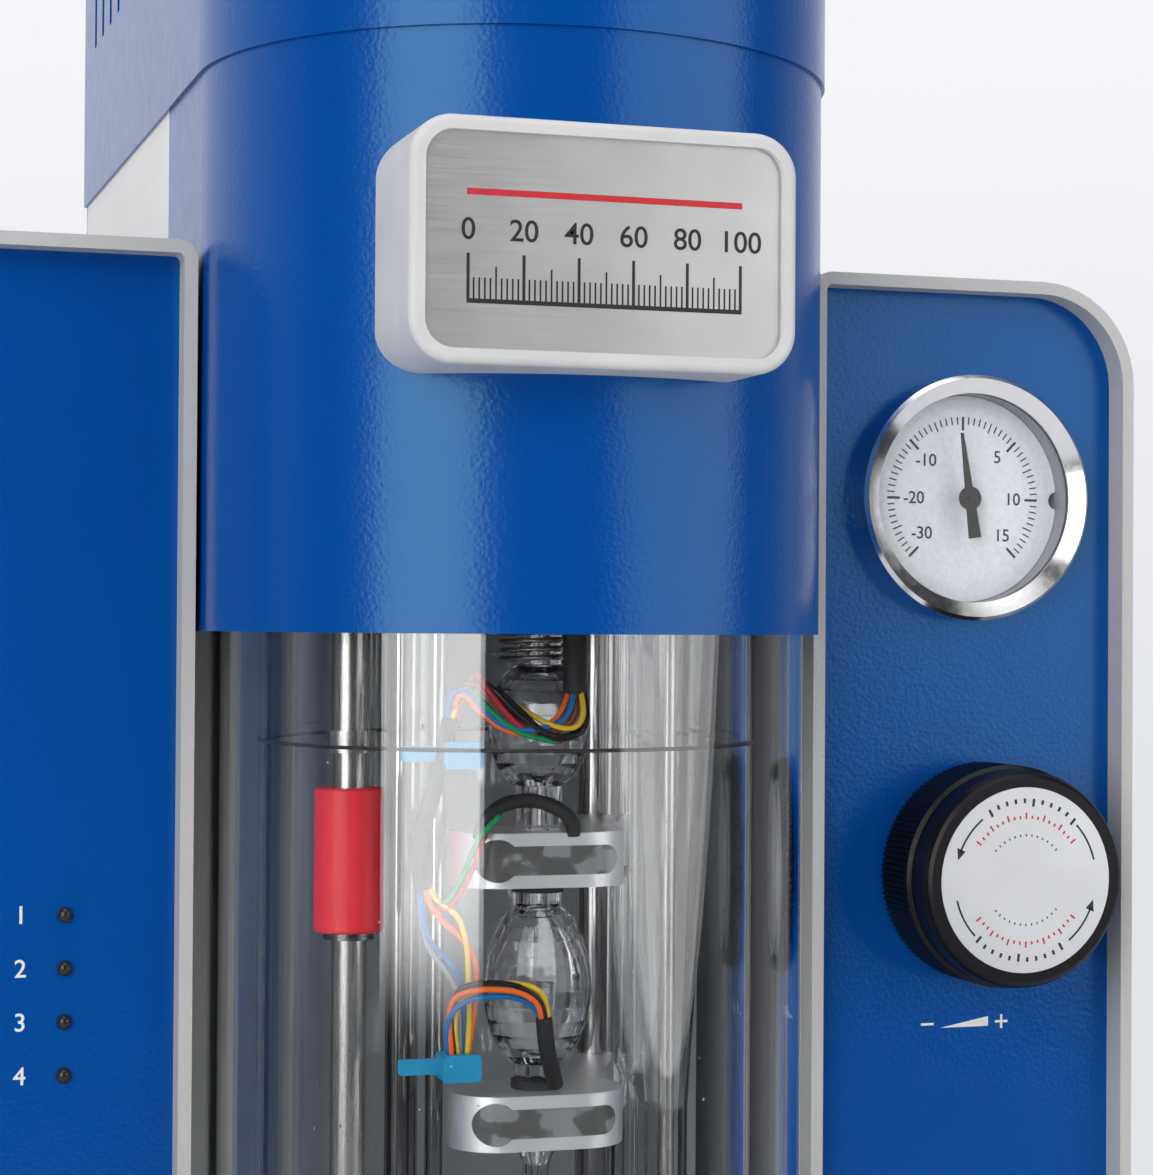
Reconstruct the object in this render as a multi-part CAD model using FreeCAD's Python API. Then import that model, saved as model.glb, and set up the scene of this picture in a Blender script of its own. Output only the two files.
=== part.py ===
import FreeCAD, Part
import math
import os

# Automatic capillary viscometer with a sample carousel, in millimetres.
# The origin is on the bench under the axis of the glass bath, +Z up, and -Y is the front.

V = FreeCAD.Vector
UP = V(0, 0, 1)
RIGHT = V(1, 0, 0)
BACK = V(0, 1, 0)

# Play between pieces
running = 0.05            # radial, shafts in their bores
slip = 0.15               # radial, pieces that slip together and stay
air = 0.3                 # between pieces that pass each other

# Heights, each counted from the piece below
foot_height = 12.0
base_height = 103.0
bay_height = 207.0
glass_height = 292.0      # from the top of the shelf to the hood
hood_height = 125.1
cap_height = 115.0
flank_step = 38.2         # from the top of the flanks up to the top of the hood

# Plan of the column: a half round front with flat sides behind it
column_radius = 71.8
column_split = 48.0       # the painted hood ends here and the grey tower begins
body_rear = 206.0
sheet = 2.5               # folded steel of hood, tower and cap
return_flange = 10.0      # inward folds on the upright edges of hood and tower
cap_overhang = 0.8

# Flanks, one each side of the column
body_half_width = 160.6
left_gap_edge = 73.1      # inner face of the left flank, left of the axis
right_gap_edge = 75.0
flank_front = -4.0
flank_wall = 3.0
flank_outer_radius = 25.0
flank_inner_radius = 4.5
panel_recess = 7.0
panel_sheet = 2.0
panel_lip = 9.0           # folded ledge that the front panel is screwed to

# Base
base_wall = 3.0
base_front = -26.0
base_corner = 20.0        # front corners, in plan
base_rear_corner = 4.0
nose_radius = 115.0       # round nose of the base under the carousel
nose_blend = 18.0
foot_top, foot_bottom = 14.0, 11.0
foot_inset = 30.0
floor_slots, floor_slot_width, floor_slot_pitch = 8, 5.0, 20.0

# Carousel
pitch_radius = 80.0
positions = 14
filled = 12
disc_radius = 100.0
disc_sheet = 6.0
spindle_radius = 6.0
hub_radius = 17.0
hub_flange = 12.0
hub_neck = 8.0
grip_radius = 13.0
grip_height = 20.0

# Sample vials
vial_radius = 13.0
vial_length = 88.0
vial_clearance = 15.0     # from the base to the vials
vial_cap_radius = 16.0
vial_cap_height = 10.0

# Lift under the sampling place
pad_radius = 10.0
pad_height = 5.0
lift_gap = 2.0
lift_travel = 80.0
arm_width = 12.0
arm_height = 6.0
carriage_width, carriage_depth, carriage_height = 44.0, 14.0, 20.0
carriage_y = 54.0
rail_radius = 4.0
rail_spacing = 30.0
screw_radius = 4.0
bay_wall_sheet = 2.0
bay_wall_gap = 6.0        # from the bay wall to the lift carriage
motor_width = 42.0
motor_height = 46.0

# Bath: a glass jar inside a clear guard tube
guard_radius = 68.3
guard_wall = 2.3
jar_radius = 57.0
jar_wall = 2.6
jar_in_hood = 20.0        # how far jar and guard reach up into the hood
seat_rim = 2.0
seat_sheet = 8.0
shelf_sheet = 6.0
groove_depth = 3.0
seal_height = 2.0
top_sheet = 8.0
liner_gap = 26.0          # from the front of the tower to the grey liner
liner_sheet = 2.0

# Viscometer tube, heights counted down from the hood
tube_x, tube_y = 0.8, -23.0
tube_radius = 4.9
bore_radius = 1.7
capillary_radius = 2.9
capillary_bore = 0.8
glass_wall = 1.1
upper_bulb_radius = 11.3
upper_bulb_drop, upper_bulb_above, upper_bulb_below = 7.0, 14.0, 13.0
lower_bulb_radius = 12.0
lower_bulb_drop, lower_bulb_above, lower_bulb_below = 60.5, 18.0, 17.0
tube_above_hood = 52.0
intake_gap = 10.0         # from the vial caps to the tip of the intake

# Detector clamps on the tube, heights counted down from the hood
upper_clamp_drop = 43.6
lower_clamp_drop = 100.8
clamp_height = 12.0
clamp_half_length = 19.8
clamp_middle = -0.4       # from the tube's axis
clamp_depth = 23.0
keyhole_radius = 4.7
keyhole_slot = 6.4
keyhole_depth = 7.0
keyhole_offset = 11.8
keyhole_end = 4.0
potting_recess = 0.3
boss_wall = 2.1
bracket_width = 10.0
bushing_radius = 5.7
bushing_height = 1.8
neck_coil_radius = 8.4     # spring on the tube's neck, to the middle of its wire
neck_coil_wire = 0.55
neck_coil_pitch = 1.9
neck_coil_turns = 4
neck_coil_drop = 6.6       # from the hood down to its last turn
neck_collar_height = 4.0

# Rods and tubes in the bath, by place and radius
support_x, support_y, support_radius = 29.2, 20.0, 5.2
heater_x, heater_y, heater_radius = -20.9, 15.0, 3.9
coil_radius = 48.6
coil_height = 16.0        # middle of the heater ring, above its seat
heater_bend = 12.0
probe_x, probe_y, probe_radius = -15.4, 5.0, 2.1
probe_drop = 200.0
side_x, side_y, side_radius = 24.6, -15.4, 3.3
side_wall = 0.9
side_neck_drop = 97.0
side_foot = 12.0

# Stirrer and the tapered draft tube round it
stir_x, stir_y = 40.1, 0.0
draft_top_radius, draft_tip_radius = 13.9, 5.2
draft_tip_drop, draft_end_drop = 111.0, 228.0
draft_wall = 0.8
stir_shaft_radius = 2.0
stir_hub_radius, stir_hub_height = 4.0, 12.0
stir_blade_span = 22.0
stir_blades = 3
stir_gap = 14.0           # from the end of the draft tube to the propeller's hub
stir_motor_radius, stir_motor_height = 18.0, 36.0
stir_motor_legs = 24.0

# Float switch, heights counted down from the hood
stem_x, stem_y, stem_radius, stem_thick = -38.7, -10.0, 3.9, 4.25
float_radius = 7.6
float_height = 32.0
float_drop = 66.6         # underside of the float at rest
float_travel = 7.5
float_play = 0.1
collar_radius = 5.45
collar_height = 4.9
clip_radius = 5.6
clip_height = 1.6
clip_mouth = 3.0

# Gauge in the right panel
gauge_shift, gauge_drop = 0.4, 53.4     # right of the panel's middle, below the flank's top
bezel_radius = 30.0
bezel_proud = 7.3
bezel_window_radius = 25.6
bezel_bevel = 2.2
bezel_edge = 0.9
bezel_lip = 0.6
window_sheet = 1.4
case_wall = 1.2
case_depth = 34.0
case_stem_radius, case_stem_length = 6.0, 16.0
clamp_ring_width, clamp_ring_wall = 12.0, 2.0
dial_depth = 9.3          # face of the dial behind the front of the bezel
dial_sheet = 1.0
movement_radius = 19.6
pointer_depth = 4.9
pointer_sheet = 0.6
pointer_reach = 16.2
pointer_tail = 9.8
pointer_hub = 2.9
pointer_pin = 0.8
pointer_pin_depth = 17.0
pointer_rest = 8.0        # degrees left of straight up

# Pressure regulator and its knob below the gauge
knob_shift, knob_drop = 4.2, 144.9      # right of the panel's middle, below the flank's top
knob_radius = 26.8
knob_front_radius = 25.1
knob_gap = 1.5
knob_length = 23.9
knob_label_radius = 22.0
knob_label_sheet = 0.5
knob_fluted = 14.8        # length of the fluted grip
knob_bore_depth = 12.0
flutes = 120
flute_depth = 0.45
regulator_stem = 6.0
regulator_radius = 24.0
regulator_length = 62.0
regulator_block = 44.0
regulator_block_length = 24.0
regulator_port, port_gap = 6.0, 3.0

# Nameplate on the hood
plate_x, plate_rise = -4.1, 78.1
plate_width, plate_height = 81.8, 49.5
plate_corner = 9.0
plate_rim = 3.1
plate_proud = 14.0
plate_inset = 1.2
plate_metal = 1.0
plate_shell = 4.0
plate_skin = 6.0

# Status lamps in the left panel
lamp_inset, lamp_drop, lamp_pitch, lamp_radius = 27.2, 149.8, 11.8, 1.75
lamps = 4
lamp_depth = 6.0
board_sheet = 1.6
lamp_board_margin = 9.0
lamp_board_width = 31.0

# Power inlet and switch on the rear of the base
inlet_inset, inlet_rise = 55.6, 48.0    # from the left side of the base, above the floor
inlet_half, inlet_half_height, inlet_depth = 14.0, 10.0, 26.0
inlet_flange, inlet_lip, inlet_wall, inlet_well = 6.0, 2.5, 2.0, 17.0
inlet_pin_end = 5.0
switch_spacing = 45.0
switch_half, switch_half_height, switch_depth = 9.5, 13.5, 20.0
switch_lip, switch_wall = 2.0, 1.5
rocker_swing = 12.0       # either side of the middle; it rests pressed to off
rocker_radius = 15.0
rocker_half_height = 9.4
rocker_pin = 1.5
rocker_depth = 9.0

# Vents, fan and rear fittings
vent_width, vent_height, vent_pitch, vents = 4.0, 40.0, 15.9, 5
vent_rise, vent_inset = 42.9, 89.5
louvres, louvre_pitch, louvre_height, louvre_length = 9, 12.0, 4.0, 40.0
fitting_radius = 3.2
fitting_bore = 1.6
fitting_length = 10.0
fitting_body, fitting_shoulder = 4.5, 2.0
fitting_tail = 14.0
fitting_inset, fitting_rise, fitting_pitch = 42.6, 185.0, 35.0
fan_radius = 28.0
fan_frame_wall = 2.0
fan_depth = 20.0
fan_drop = 10.0
fan_hub = 11.0
fan_blades = 7
fan_pin = 1.5
guard_wire = 1.0
deck_rise = 16.0          # shelf inside the tower, above the bath's top plate

# Electronics
supply_width, supply_length, supply_height = 66.0, 110.0, 44.0
supply_gap, supply_y = 7.6, 60.0
supply_fins, supply_fin_height = 8, 6.0
control_height = 180.0
control_gap, control_side_gap, control_rise = 7.6, 13.9, 85.0
pillar_radius, pillar_length = 3.0, 12.4
valve_block = 22.0
valve_coil_radius, valve_coil_length = 9.0, 26.0

# Wire bundles, held at both ends, as points along each route counted from the tube's axis
# and down from the hood
bundle_radius = 1.9
branch_radius = 1.6
sleeve_radius = 2.6
lower_sleeve_radius = 1.8
wire_gap = 0.8            # from the end of a bundle to the piece that holds it
sleeve_x, sleeve_y, sleeve_drop = 4.0, -13.3, 13.2
tie_x, tie_y = -20.3, -9.2
tie_width, tie_height, tie_depth, tie_tail = 8.4, 5.8, 7.2, 8.8
upper_tie_drop, lower_tie_drop = 26.5, 94.0

# Derived places
base_top = foot_height + base_height
shelf_bottom = base_top + bay_height
shelf_top = shelf_bottom + shelf_sheet
seat_top = shelf_top + seat_sheet
hood_bottom = shelf_top + glass_height
hood_top = hood_bottom + hood_height
flank_top = hood_top - flank_step
cap_top = hood_top + cap_height
jar_top = hood_bottom + jar_in_hood
top_plate_top = jar_top + top_sheet
panel_front = flank_front + panel_recess
panel_back = panel_front + panel_sheet
rear_inside = body_rear - panel_sheet
disc_y = tube_y - pitch_radius
vial_bottom = base_top + vial_clearance
disc_top = vial_bottom + vial_length
disc_bottom = disc_top - disc_sheet
vial_cap_top = disc_top + vial_cap_height
intake_bottom = vial_cap_top + intake_gap
pad_top = vial_bottom - lift_gap
arm_top = pad_top - pad_height
arm_bottom = arm_top - arm_height
carriage_front = carriage_y - carriage_depth / 2
bay_wall_y = carriage_front - bay_wall_gap - bay_wall_sheet
column_inside = column_radius - sheet
upper_clamp_top = hood_bottom - upper_clamp_drop
lower_clamp_top = hood_bottom - lower_clamp_drop
float_bottom = hood_bottom - float_drop
collar_bottom = float_bottom + float_height + float_travel + air
bezel_front = panel_front - bezel_proud
right_middle = (right_gap_edge + body_half_width) / 2
gauge_x, gauge_z = right_middle + gauge_shift, flank_top - gauge_drop
knob_x, knob_z = right_middle + knob_shift, flank_top - knob_drop
knob_back = panel_front - knob_gap
knob_front = knob_back - knob_length
plate_z = hood_bottom + plate_rise
plate_front = -column_radius - plate_proud
lamp_x, lamp_top_z = -left_gap_edge - lamp_inset, flank_top - lamp_drop
inlet_x, inlet_z = inlet_inset - body_half_width, foot_height + inlet_rise
switch_x, switch_z = inlet_x + switch_spacing, inlet_z
fitting_x = body_half_width - fitting_inset
supply_x = base_wall + supply_gap - body_half_width
control_x = flank_wall + control_gap - body_half_width
control_width = -left_gap_edge - flank_wall - control_side_gap - control_x
fan_z = hood_bottom - fan_drop
step_angle = 360.0 / positions


def box(x0, x1, y0, y1, z0, z1):
    return Part.makeBox(x1 - x0, y1 - y0, z1 - z0, V(x0, y0, z0))


def post(x, y, z0, z1, radius):
    return Part.makeCylinder(radius, z1 - z0, V(x, y, z0), UP)


def bar(x, z, y0, y1, radius):
    return Part.makeCylinder(radius, y1 - y0, V(x, y0, z), BACK)


def bar_across(x0, x1, y, z, radius):
    return Part.makeCylinder(radius, x1 - x0, V(x0, y, z), RIGHT)


def pipe(x, y, z0, z1, radius, wall):
    return post(x, y, z0, z1, radius).cut(post(x, y, z0 - 1, z1 + 1, radius - wall))


def fuse(solids):
    return solids[0].multiFuse(solids[1:]).removeSplitter()


def group(solids):
    return Part.makeCompound(solids)


def turned(profile, origin, axis=UP):
    # Revolves (radius, height) points about the axis through origin
    points = [origin + RIGHT * r + axis * h for r, h in profile]
    face = Part.Face(Part.makePolygon(points + [points[0]]))
    return face.revolve(origin, axis, 360)


def rounded_face(x0, x1, z0, z1, radii, y):
    # Upright outline at depth y; radii from the lower left corner, anticlockwise seen from the front
    corners = [(x0, z0, 1, 1, 180), (x1, z0, -1, 1, 270), (x1, z1, -1, -1, 0), (x0, z1, 1, -1, 90)]
    ends, edges = [], []
    for (x, z, inward_x, inward_z, start), radius in zip(corners, radii):
        if radius > 0:
            cx, cz = x + inward_x * radius, z + inward_z * radius
            arc = [V(cx + radius * math.cos(math.radians(start + turn)), y,
                     cz + radius * math.sin(math.radians(start + turn))) for turn in (0, 45, 90)]
            edges.append(Part.Arc(*arc).toShape())
            ends.append((arc[0], arc[2]))
        else:
            ends.append((V(x, y, z), V(x, y, z)))
    for i in range(4):
        start, end = ends[i][1], ends[(i + 1) % 4][0]
        if start.distanceToPoint(end) > 0.001:
            edges.append(Part.makeLine(start, end))
    return Part.Face(Part.Wire(Part.__sortEdges__(edges)))


def slab(x0, x1, z0, z1, radii, y0, y1):
    return rounded_face(x0, x1, z0, z1, radii, y0).extrude(V(0, y1 - y0, 0))


def flat_slot(x, width, y0, y1, z0, z1):
    # Upright cut with round ends, long in y
    r = width / 2
    return fuse([box(x - r, x + r, y0 + r, y1 - r, z0, z1),
                 post(x, y0 + r, z0, z1, r),
                 post(x, y1 - r, z0, z1, r)])


def column_block(radius, rear, z0, z1):
    # Half round front joined to a rectangle that runs back to rear
    nose = Part.Arc(V(-radius, 0, z0), V(0, -radius, z0), V(radius, 0, z0)).toShape()
    sides = Part.makePolygon([V(radius, 0, z0), V(radius, rear, z0), V(-radius, rear, z0), V(-radius, 0, z0)])
    return Part.Face(Part.Wire([nose] + sides.Edges)).extrude(V(0, 0, z1 - z0))


def edges_where(shape, test):
    return [edge for edge in shape.Edges if test(edge)]


def is_upright(edge):
    return abs(edge.tangentAt(edge.FirstParameter).z) > 0.9


def rim_at(shape, z):
    return edges_where(shape, lambda edge: (abs(edge.BoundBox.ZMin - z) < 0.01
                                            and abs(edge.BoundBox.ZMax - z) < 0.01))


def base_block(shrink, z0, z1):
    # Rectangle under the body with a round nose under the carousel, all walls moved in by shrink
    half, front, rear = body_half_width - shrink, base_front + shrink, body_rear - shrink
    block = box(-half, half, front, rear, z0, z1)
    front_edges = edges_where(block, lambda e: is_upright(e) and abs(e.CenterOfMass.y - front) < 0.01)
    block = block.makeFillet(base_corner - shrink, front_edges)
    rear_edges = edges_where(block, lambda e: is_upright(e) and abs(e.CenterOfMass.y - rear) < 0.01)
    block = block.makeFillet(base_rear_corner - shrink, rear_edges)
    joined = fuse([block, post(0, disc_y, z0, z1, nose_radius - shrink)])
    creases = edges_where(joined, lambda e: is_upright(e) and abs(e.CenterOfMass.y - front) < 0.01
                          and abs(e.CenterOfMass.x) < nose_radius)
    return joined.makeFillet(nose_blend + shrink, creases)


def inlet_hole(y0, y1):
    return box(inlet_x - inlet_half, inlet_x + inlet_half, y0, y1,
               inlet_z - inlet_half_height, inlet_z + inlet_half_height)


def switch_hole(y0, y1):
    return box(switch_x - switch_half, switch_x + switch_half, y0, y1,
               switch_z - switch_half_height, switch_z + switch_half_height)


def base_chassis():
    outer = base_block(0.0, foot_height, base_top)
    outer = outer.makeFillet(base_wall, rim_at(outer, base_top))
    shell = outer.cut(base_block(base_wall, foot_height - 1, base_top - base_wall))
    low, high = base_top - base_wall - 1, base_top + 1
    holes = [post(0, disc_y, low, high, spindle_radius + air),
             post(0, carriage_y, low, high, screw_radius + air),
             box(-column_inside, column_inside, carriage_y + motor_width, rear_inside - motor_width,
                 low, high),
             inlet_hole(body_rear - base_wall - 1, body_rear + 1),
             switch_hole(body_rear - base_wall - 1, body_rear + 1)]
    return shell.cut(group(holes))


def base_floor():
    floor = base_block(base_wall, foot_height, foot_height + base_wall)
    first = -floor_slot_pitch * (floor_slots - 1) / 2
    slots = [flat_slot(first + i * floor_slot_pitch, floor_slot_width, body_rear / 2, body_rear * 0.75,
                       foot_height - 1, foot_height + base_wall + 1) for i in range(floor_slots)]
    return floor.cut(group(slots))


def rubber_feet():
    x = body_half_width - foot_inset
    y0, y1 = base_front + foot_inset, body_rear - foot_inset
    places = [(-x, y0), (x, y0), (-x, y1), (x, y1), (0.0, disc_y - nose_radius + foot_inset)]
    return group([Part.makeCone(foot_bottom, foot_top, foot_height, V(px, py, 0), UP) for px, py in places])


def power_inlet():
    # Inlet socket with earth pin, and the frame of the switch beside it
    x, z = inlet_x, inlet_z
    flange = slab(x - inlet_half - inlet_flange, x + inlet_half + inlet_flange,
                  z - inlet_half_height - inlet_flange, z + inlet_half_height + inlet_flange, (4, 4, 4, 4),
                  body_rear, body_rear + inlet_lip)
    housing = fuse([inlet_hole(body_rear - inlet_depth, body_rear), flange])
    front = body_rear + inlet_lip
    well = slab(x - inlet_half + inlet_wall, x + inlet_half - inlet_wall, z - inlet_half_height + inlet_wall,
                z + inlet_half_height - inlet_wall, (0.5, 0.5, 5.5, 5.5), front - inlet_well, front + 1)
    pins = [box(x + dx - 1, x + dx + 1, front - inlet_well, body_rear - inlet_pin_end, z + dz - 2, z + dz + 2)
            for dx, dz in ((-7, -2), (7, -2), (0, 2))]
    inlet = fuse([housing.cut(well)] + pins)
    half, tall = switch_half, switch_half_height
    rim = slab(switch_x - half - 2, switch_x + half + 2, switch_z - tall - 2, switch_z + tall + 2,
               (2, 2, 2, 2), body_rear, body_rear + switch_lip)
    frame = fuse([rim, switch_hole(body_rear - switch_depth, body_rear)])
    hollow = box(switch_x - half + switch_wall, switch_x + half - switch_wall,
                 body_rear - switch_depth + switch_wall, body_rear + switch_lip + 1,
                 switch_z - tall + switch_wall, switch_z + tall - switch_wall)
    pivot = bar_across(switch_x - half - 1, switch_x + half + 1, body_rear - rocker_depth, switch_z,
                       rocker_pin + running)
    return group([inlet, frame.cut(hollow).cut(pivot)])


def switch_rocker():
    half = switch_half - switch_wall - air
    pivot_y = body_rear - rocker_depth
    drum = bar_across(switch_x - half, switch_x + half, pivot_y, switch_z, rocker_radius)
    keep = box(switch_x - half - 1, switch_x + half + 1,
               pivot_y - rocker_pin - 1.5, pivot_y + rocker_radius - 2,
               switch_z - rocker_half_height, switch_z + rocker_half_height)
    pin = bar_across(switch_x - switch_half + air, switch_x + switch_half - air,
                     pivot_y, switch_z, rocker_pin)
    rocker = fuse([drum.common(keep), pin])
    rocker.rotate(V(switch_x, pivot_y, switch_z), RIGHT, -rocker_swing)
    return rocker


def flank_radii(outer_on_left, shrink):
    outer, inner = max(flank_outer_radius - shrink, 0), max(flank_inner_radius - shrink, 0)
    return (0, 0, inner, outer) if outer_on_left else (0, 0, outer, inner)


def flank_inside(x0, x1, outer_on_left, y0, y1):
    return slab(x0 + flank_wall, x1 - flank_wall, base_top + flank_wall, flank_top - flank_wall,
                flank_radii(outer_on_left, flank_wall), y0, y1)


def flank_shell(x0, x1, outer_on_left):
    # Open tube of sheet, with a ledge inside for the front panel
    outer = slab(x0, x1, base_top, flank_top, flank_radii(outer_on_left, 0), flank_front, rear_inside)
    shell = outer.cut(flank_inside(x0, x1, outer_on_left, flank_front - 1, rear_inside + 1))
    edge = flank_wall + panel_lip
    window = slab(x0 + edge, x1 - edge, base_top + edge, flank_top - edge, (2, 2, 2, 2),
                  panel_back - 1, panel_back + panel_sheet + 1)
    lip = flank_inside(x0, x1, outer_on_left, panel_back, panel_back + panel_sheet).cut(window)
    return fuse([shell, lip])


def right_flank_shell():
    # In a narrow flank the ledge makes way for the gauge's case
    return flank_shell(right_gap_edge, body_half_width, False).cut(
        bar(gauge_x, gauge_z, panel_back, panel_back + case_depth,
            bezel_window_radius + case_wall + clamp_ring_wall + slip))


def left_front_panel():
    panel = flank_inside(-body_half_width, -left_gap_edge, True, panel_front, panel_back)
    holes = [bar(lamp_x, lamp_top_z - i * lamp_pitch, panel_front - 1, panel_back + 1, lamp_radius)
             for i in range(lamps)]
    return panel.cut(group(holes))


def right_front_panel():
    panel = flank_inside(right_gap_edge, body_half_width, False, panel_front, panel_back)
    holes = [bar(gauge_x, gauge_z, panel_front - 1, panel_back + 1, bezel_window_radius + case_wall + slip),
             bar(knob_x, knob_z, panel_front - 1, panel_back + 1, regulator_stem + slip)]
    return panel.cut(group(holes))


def status_leds():
    lights = []
    for i in range(lamps):
        z = lamp_top_z - i * lamp_pitch
        body = bar(lamp_x, z, panel_front, panel_back + lamp_depth, lamp_radius)
        dome = Part.makeSphere(lamp_radius, V(lamp_x, panel_front, z))
        front_half = bar(lamp_x, z, panel_front - lamp_radius, panel_front, lamp_radius)
        lights.append(fuse([body, dome.common(front_half)]))
    return group(lights)


def circuit_boards():
    # Lamp board behind the left panel, and the main board on the rear panel
    m = lamp_board_margin
    low, high = lamp_top_z - (lamps - 1) * lamp_pitch - m, lamp_top_z + m
    y = panel_back + lamp_depth
    left = lamp_x + m - lamp_board_width
    lamp_board = slab(left, lamp_x + m, low, high, (1, 1, 1, 1), y, y + board_sheet)
    stands = [bar(left + m / 2, z, panel_back, y, pillar_radius) for z in (low + m / 2, high - m / 2)]
    x0, z0 = control_x, base_top + control_rise
    x1, z1 = x0 + control_width, z0 + control_height
    back = rear_inside - pillar_length
    board = box(x0, x1, back - board_sheet, back, z0, z1)
    step = control_width / 4
    chips = [box(x0 + step * i + 3, x0 + step * (i + 1), back - board_sheet - 4, back - board_sheet,
                 z0 + 2 * step * (i + 1), z0 + 2 * step * (i + 1) + step) for i in range(3)]
    pillars = [bar(x, z, back, rear_inside, pillar_radius)
               for x in (x0 + 5, x1 - 5) for z in (z0 + 5, z1 - 5)]
    return group([fuse([lamp_board] + stands), fuse([board] + chips + pillars)])


def tower_shell():
    left = box(-column_radius, -column_inside, column_split, rear_inside, base_top, hood_top)
    right = box(column_inside, column_radius, column_split, rear_inside, base_top, hood_top)
    fold = column_inside - return_flange
    folds = [box(-column_inside, -fold, column_split, column_split + sheet, base_top, hood_top),
             box(fold, column_inside, column_split, column_split + sheet, base_top, hood_top)]
    deck_z = top_plate_top + deck_rise
    deck = box(-column_inside, column_inside, column_split + liner_gap, rear_inside, deck_z, deck_z + sheet)
    return fuse([left, right, deck] + folds)


def rear_panel():
    r = flank_outer_radius
    wide = slab(-body_half_width, body_half_width, base_top, flank_top, (0, 0, r, r), rear_inside, body_rear)
    tall = box(-column_radius, column_radius, rear_inside, body_rear, base_top, hood_top)
    cuts = [bar(0, fan_z, rear_inside - 1, body_rear + 1, fan_radius)]
    cuts += [bar(x, z, rear_inside - 1, body_rear + 1, fitting_body + slip) for x, z in fitting_places()]
    middle = -(body_half_width + left_gap_edge) / 2
    for row in range(louvres):
        z = (base_top + flank_top) / 2 + row * louvre_pitch
        cuts.append(box(middle - louvre_length / 2, middle + louvre_length / 2,
                        rear_inside - 1, body_rear + 1, z, z + louvre_height))
    return fuse([wide, tall]).cut(group(cuts))


def fitting_places():
    return [(fitting_x, base_top + fitting_rise + i * fitting_pitch) for i in range(2)]


def rear_fittings():
    # Hose tails for vacuum and air: each body goes through the rear panel to its nut inside
    fittings = []
    seat = body_rear + fitting_shoulder
    for x, z in fitting_places():
        body = bar(x, z, rear_inside - fitting_tail, body_rear, fitting_body)
        shoulder = bar(x, z, body_rear, seat, 2 * fitting_radius)
        tail = bar(x, z, seat, seat + fitting_length, fitting_radius)
        nut = bar(x, z, rear_inside - 2 * sheet, rear_inside, 2 * fitting_radius)
        through = bar(x, z, rear_inside - fitting_tail - 1, seat + fitting_length + 1, fitting_bore)
        fittings.append(fuse([body, shoulder, tail, nut]).cut(through))
    return group(fittings)


def solenoid_valves():
    back = rear_inside - fitting_tail
    half = valve_block / 2
    valves = []
    for x, z in fitting_places():
        block = box(x - half, x + half, back - valve_block, back, z - half, z + half)
        coil = bar(x, z, back - valve_block - valve_coil_length, back - valve_block, valve_coil_radius)
        valves.append(fuse([block, coil]))
    return group(valves)


def fan_frame():
    # Square frame with its spider and pin, and the wire guard outside the panel
    half = fan_radius + fan_frame_wall
    back, front = rear_inside, rear_inside - fan_depth
    spider = 3.0
    frame = slab(-half, half, fan_z - half, fan_z + half, (4, 4, 4, 4), front, back)
    frame = frame.cut(bar(0, fan_z, front - 1, back + 1, fan_radius))
    arms = []
    for i in range(3):
        arm = box(0, fan_radius + 1, front, front + spider, -spider / 2, spider / 2)
        arm.rotate(V(0, 0, 0), BACK, 30 + 120 * i)
        arm.translate(V(0, 0, fan_z))
        arms.append(arm)
    hub = bar(0, fan_z, front, front + spider, fan_hub)
    pin = bar(0, fan_z, front, back - spider, fan_pin)
    rings = [Part.makeTorus(r, guard_wire, V(0, body_rear + 2.6 * guard_wire, fan_z), BACK)
             for r in (fan_radius * 0.35, fan_radius * 0.68, fan_radius)]
    spokes = []
    for angle in (45, 135):
        spoke = Part.makeCylinder(guard_wire, 2 * half + 4, V(-half - 2, body_rear + guard_wire, 0), RIGHT)
        spoke.rotate(V(0, body_rear, 0), BACK, angle)
        spoke.translate(V(0, 0, fan_z))
        spokes.append(spoke)
    return group([fuse([frame, hub, pin] + arms), fuse(rings + spokes)])


def fan_rotor():
    front, back = rear_inside - fan_depth + 3.0 + 2 * air, rear_inside - 2.0
    tilt, chord, thick = 38.0, 9.0, 1.4
    middle = (front + back) / 2
    blades = []
    for i in range(fan_blades):
        blade = box(fan_hub - 1, fan_radius - 1, middle - thick / 2, middle + thick / 2,
                    -chord / 2, chord / 2)
        blade.rotate(V(0, middle, 0), RIGHT, tilt)
        blade.rotate(V(0, 0, 0), BACK, 360.0 / fan_blades * i)
        blade.translate(V(0, 0, fan_z))
        blades.append(blade)
    hub = bar(0, fan_z, front, back, fan_hub)
    bore = bar(0, fan_z, front - 1, rear_inside - 3.0 + running, fan_pin + running)
    return fuse([hub] + blades).cut(bore)


def power_supply():
    floor = foot_height + base_wall
    x1, y1, top = supply_x + supply_width, supply_y + supply_length, floor + supply_height
    case = box(supply_x, x1, supply_y, y1, floor, top)
    pitch = supply_length / supply_fins
    fins = [box(supply_x, x1, supply_y + pitch * i, supply_y + pitch * i + pitch / 4,
                top, top + supply_fin_height)
            for i in range(supply_fins)]
    return fuse([case] + fins)


def bay_wall():
    plate = box(-left_gap_edge, right_gap_edge, bay_wall_y, bay_wall_y + bay_wall_sheet,
                base_top, shelf_bottom)
    half = arm_width / 2 + lift_gap
    slot = box(-half, half, bay_wall_y - 1, bay_wall_y + bay_wall_sheet + 1, base_top + 1,
               arm_top + lift_travel + lift_gap)
    return plate.cut(slot)


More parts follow.
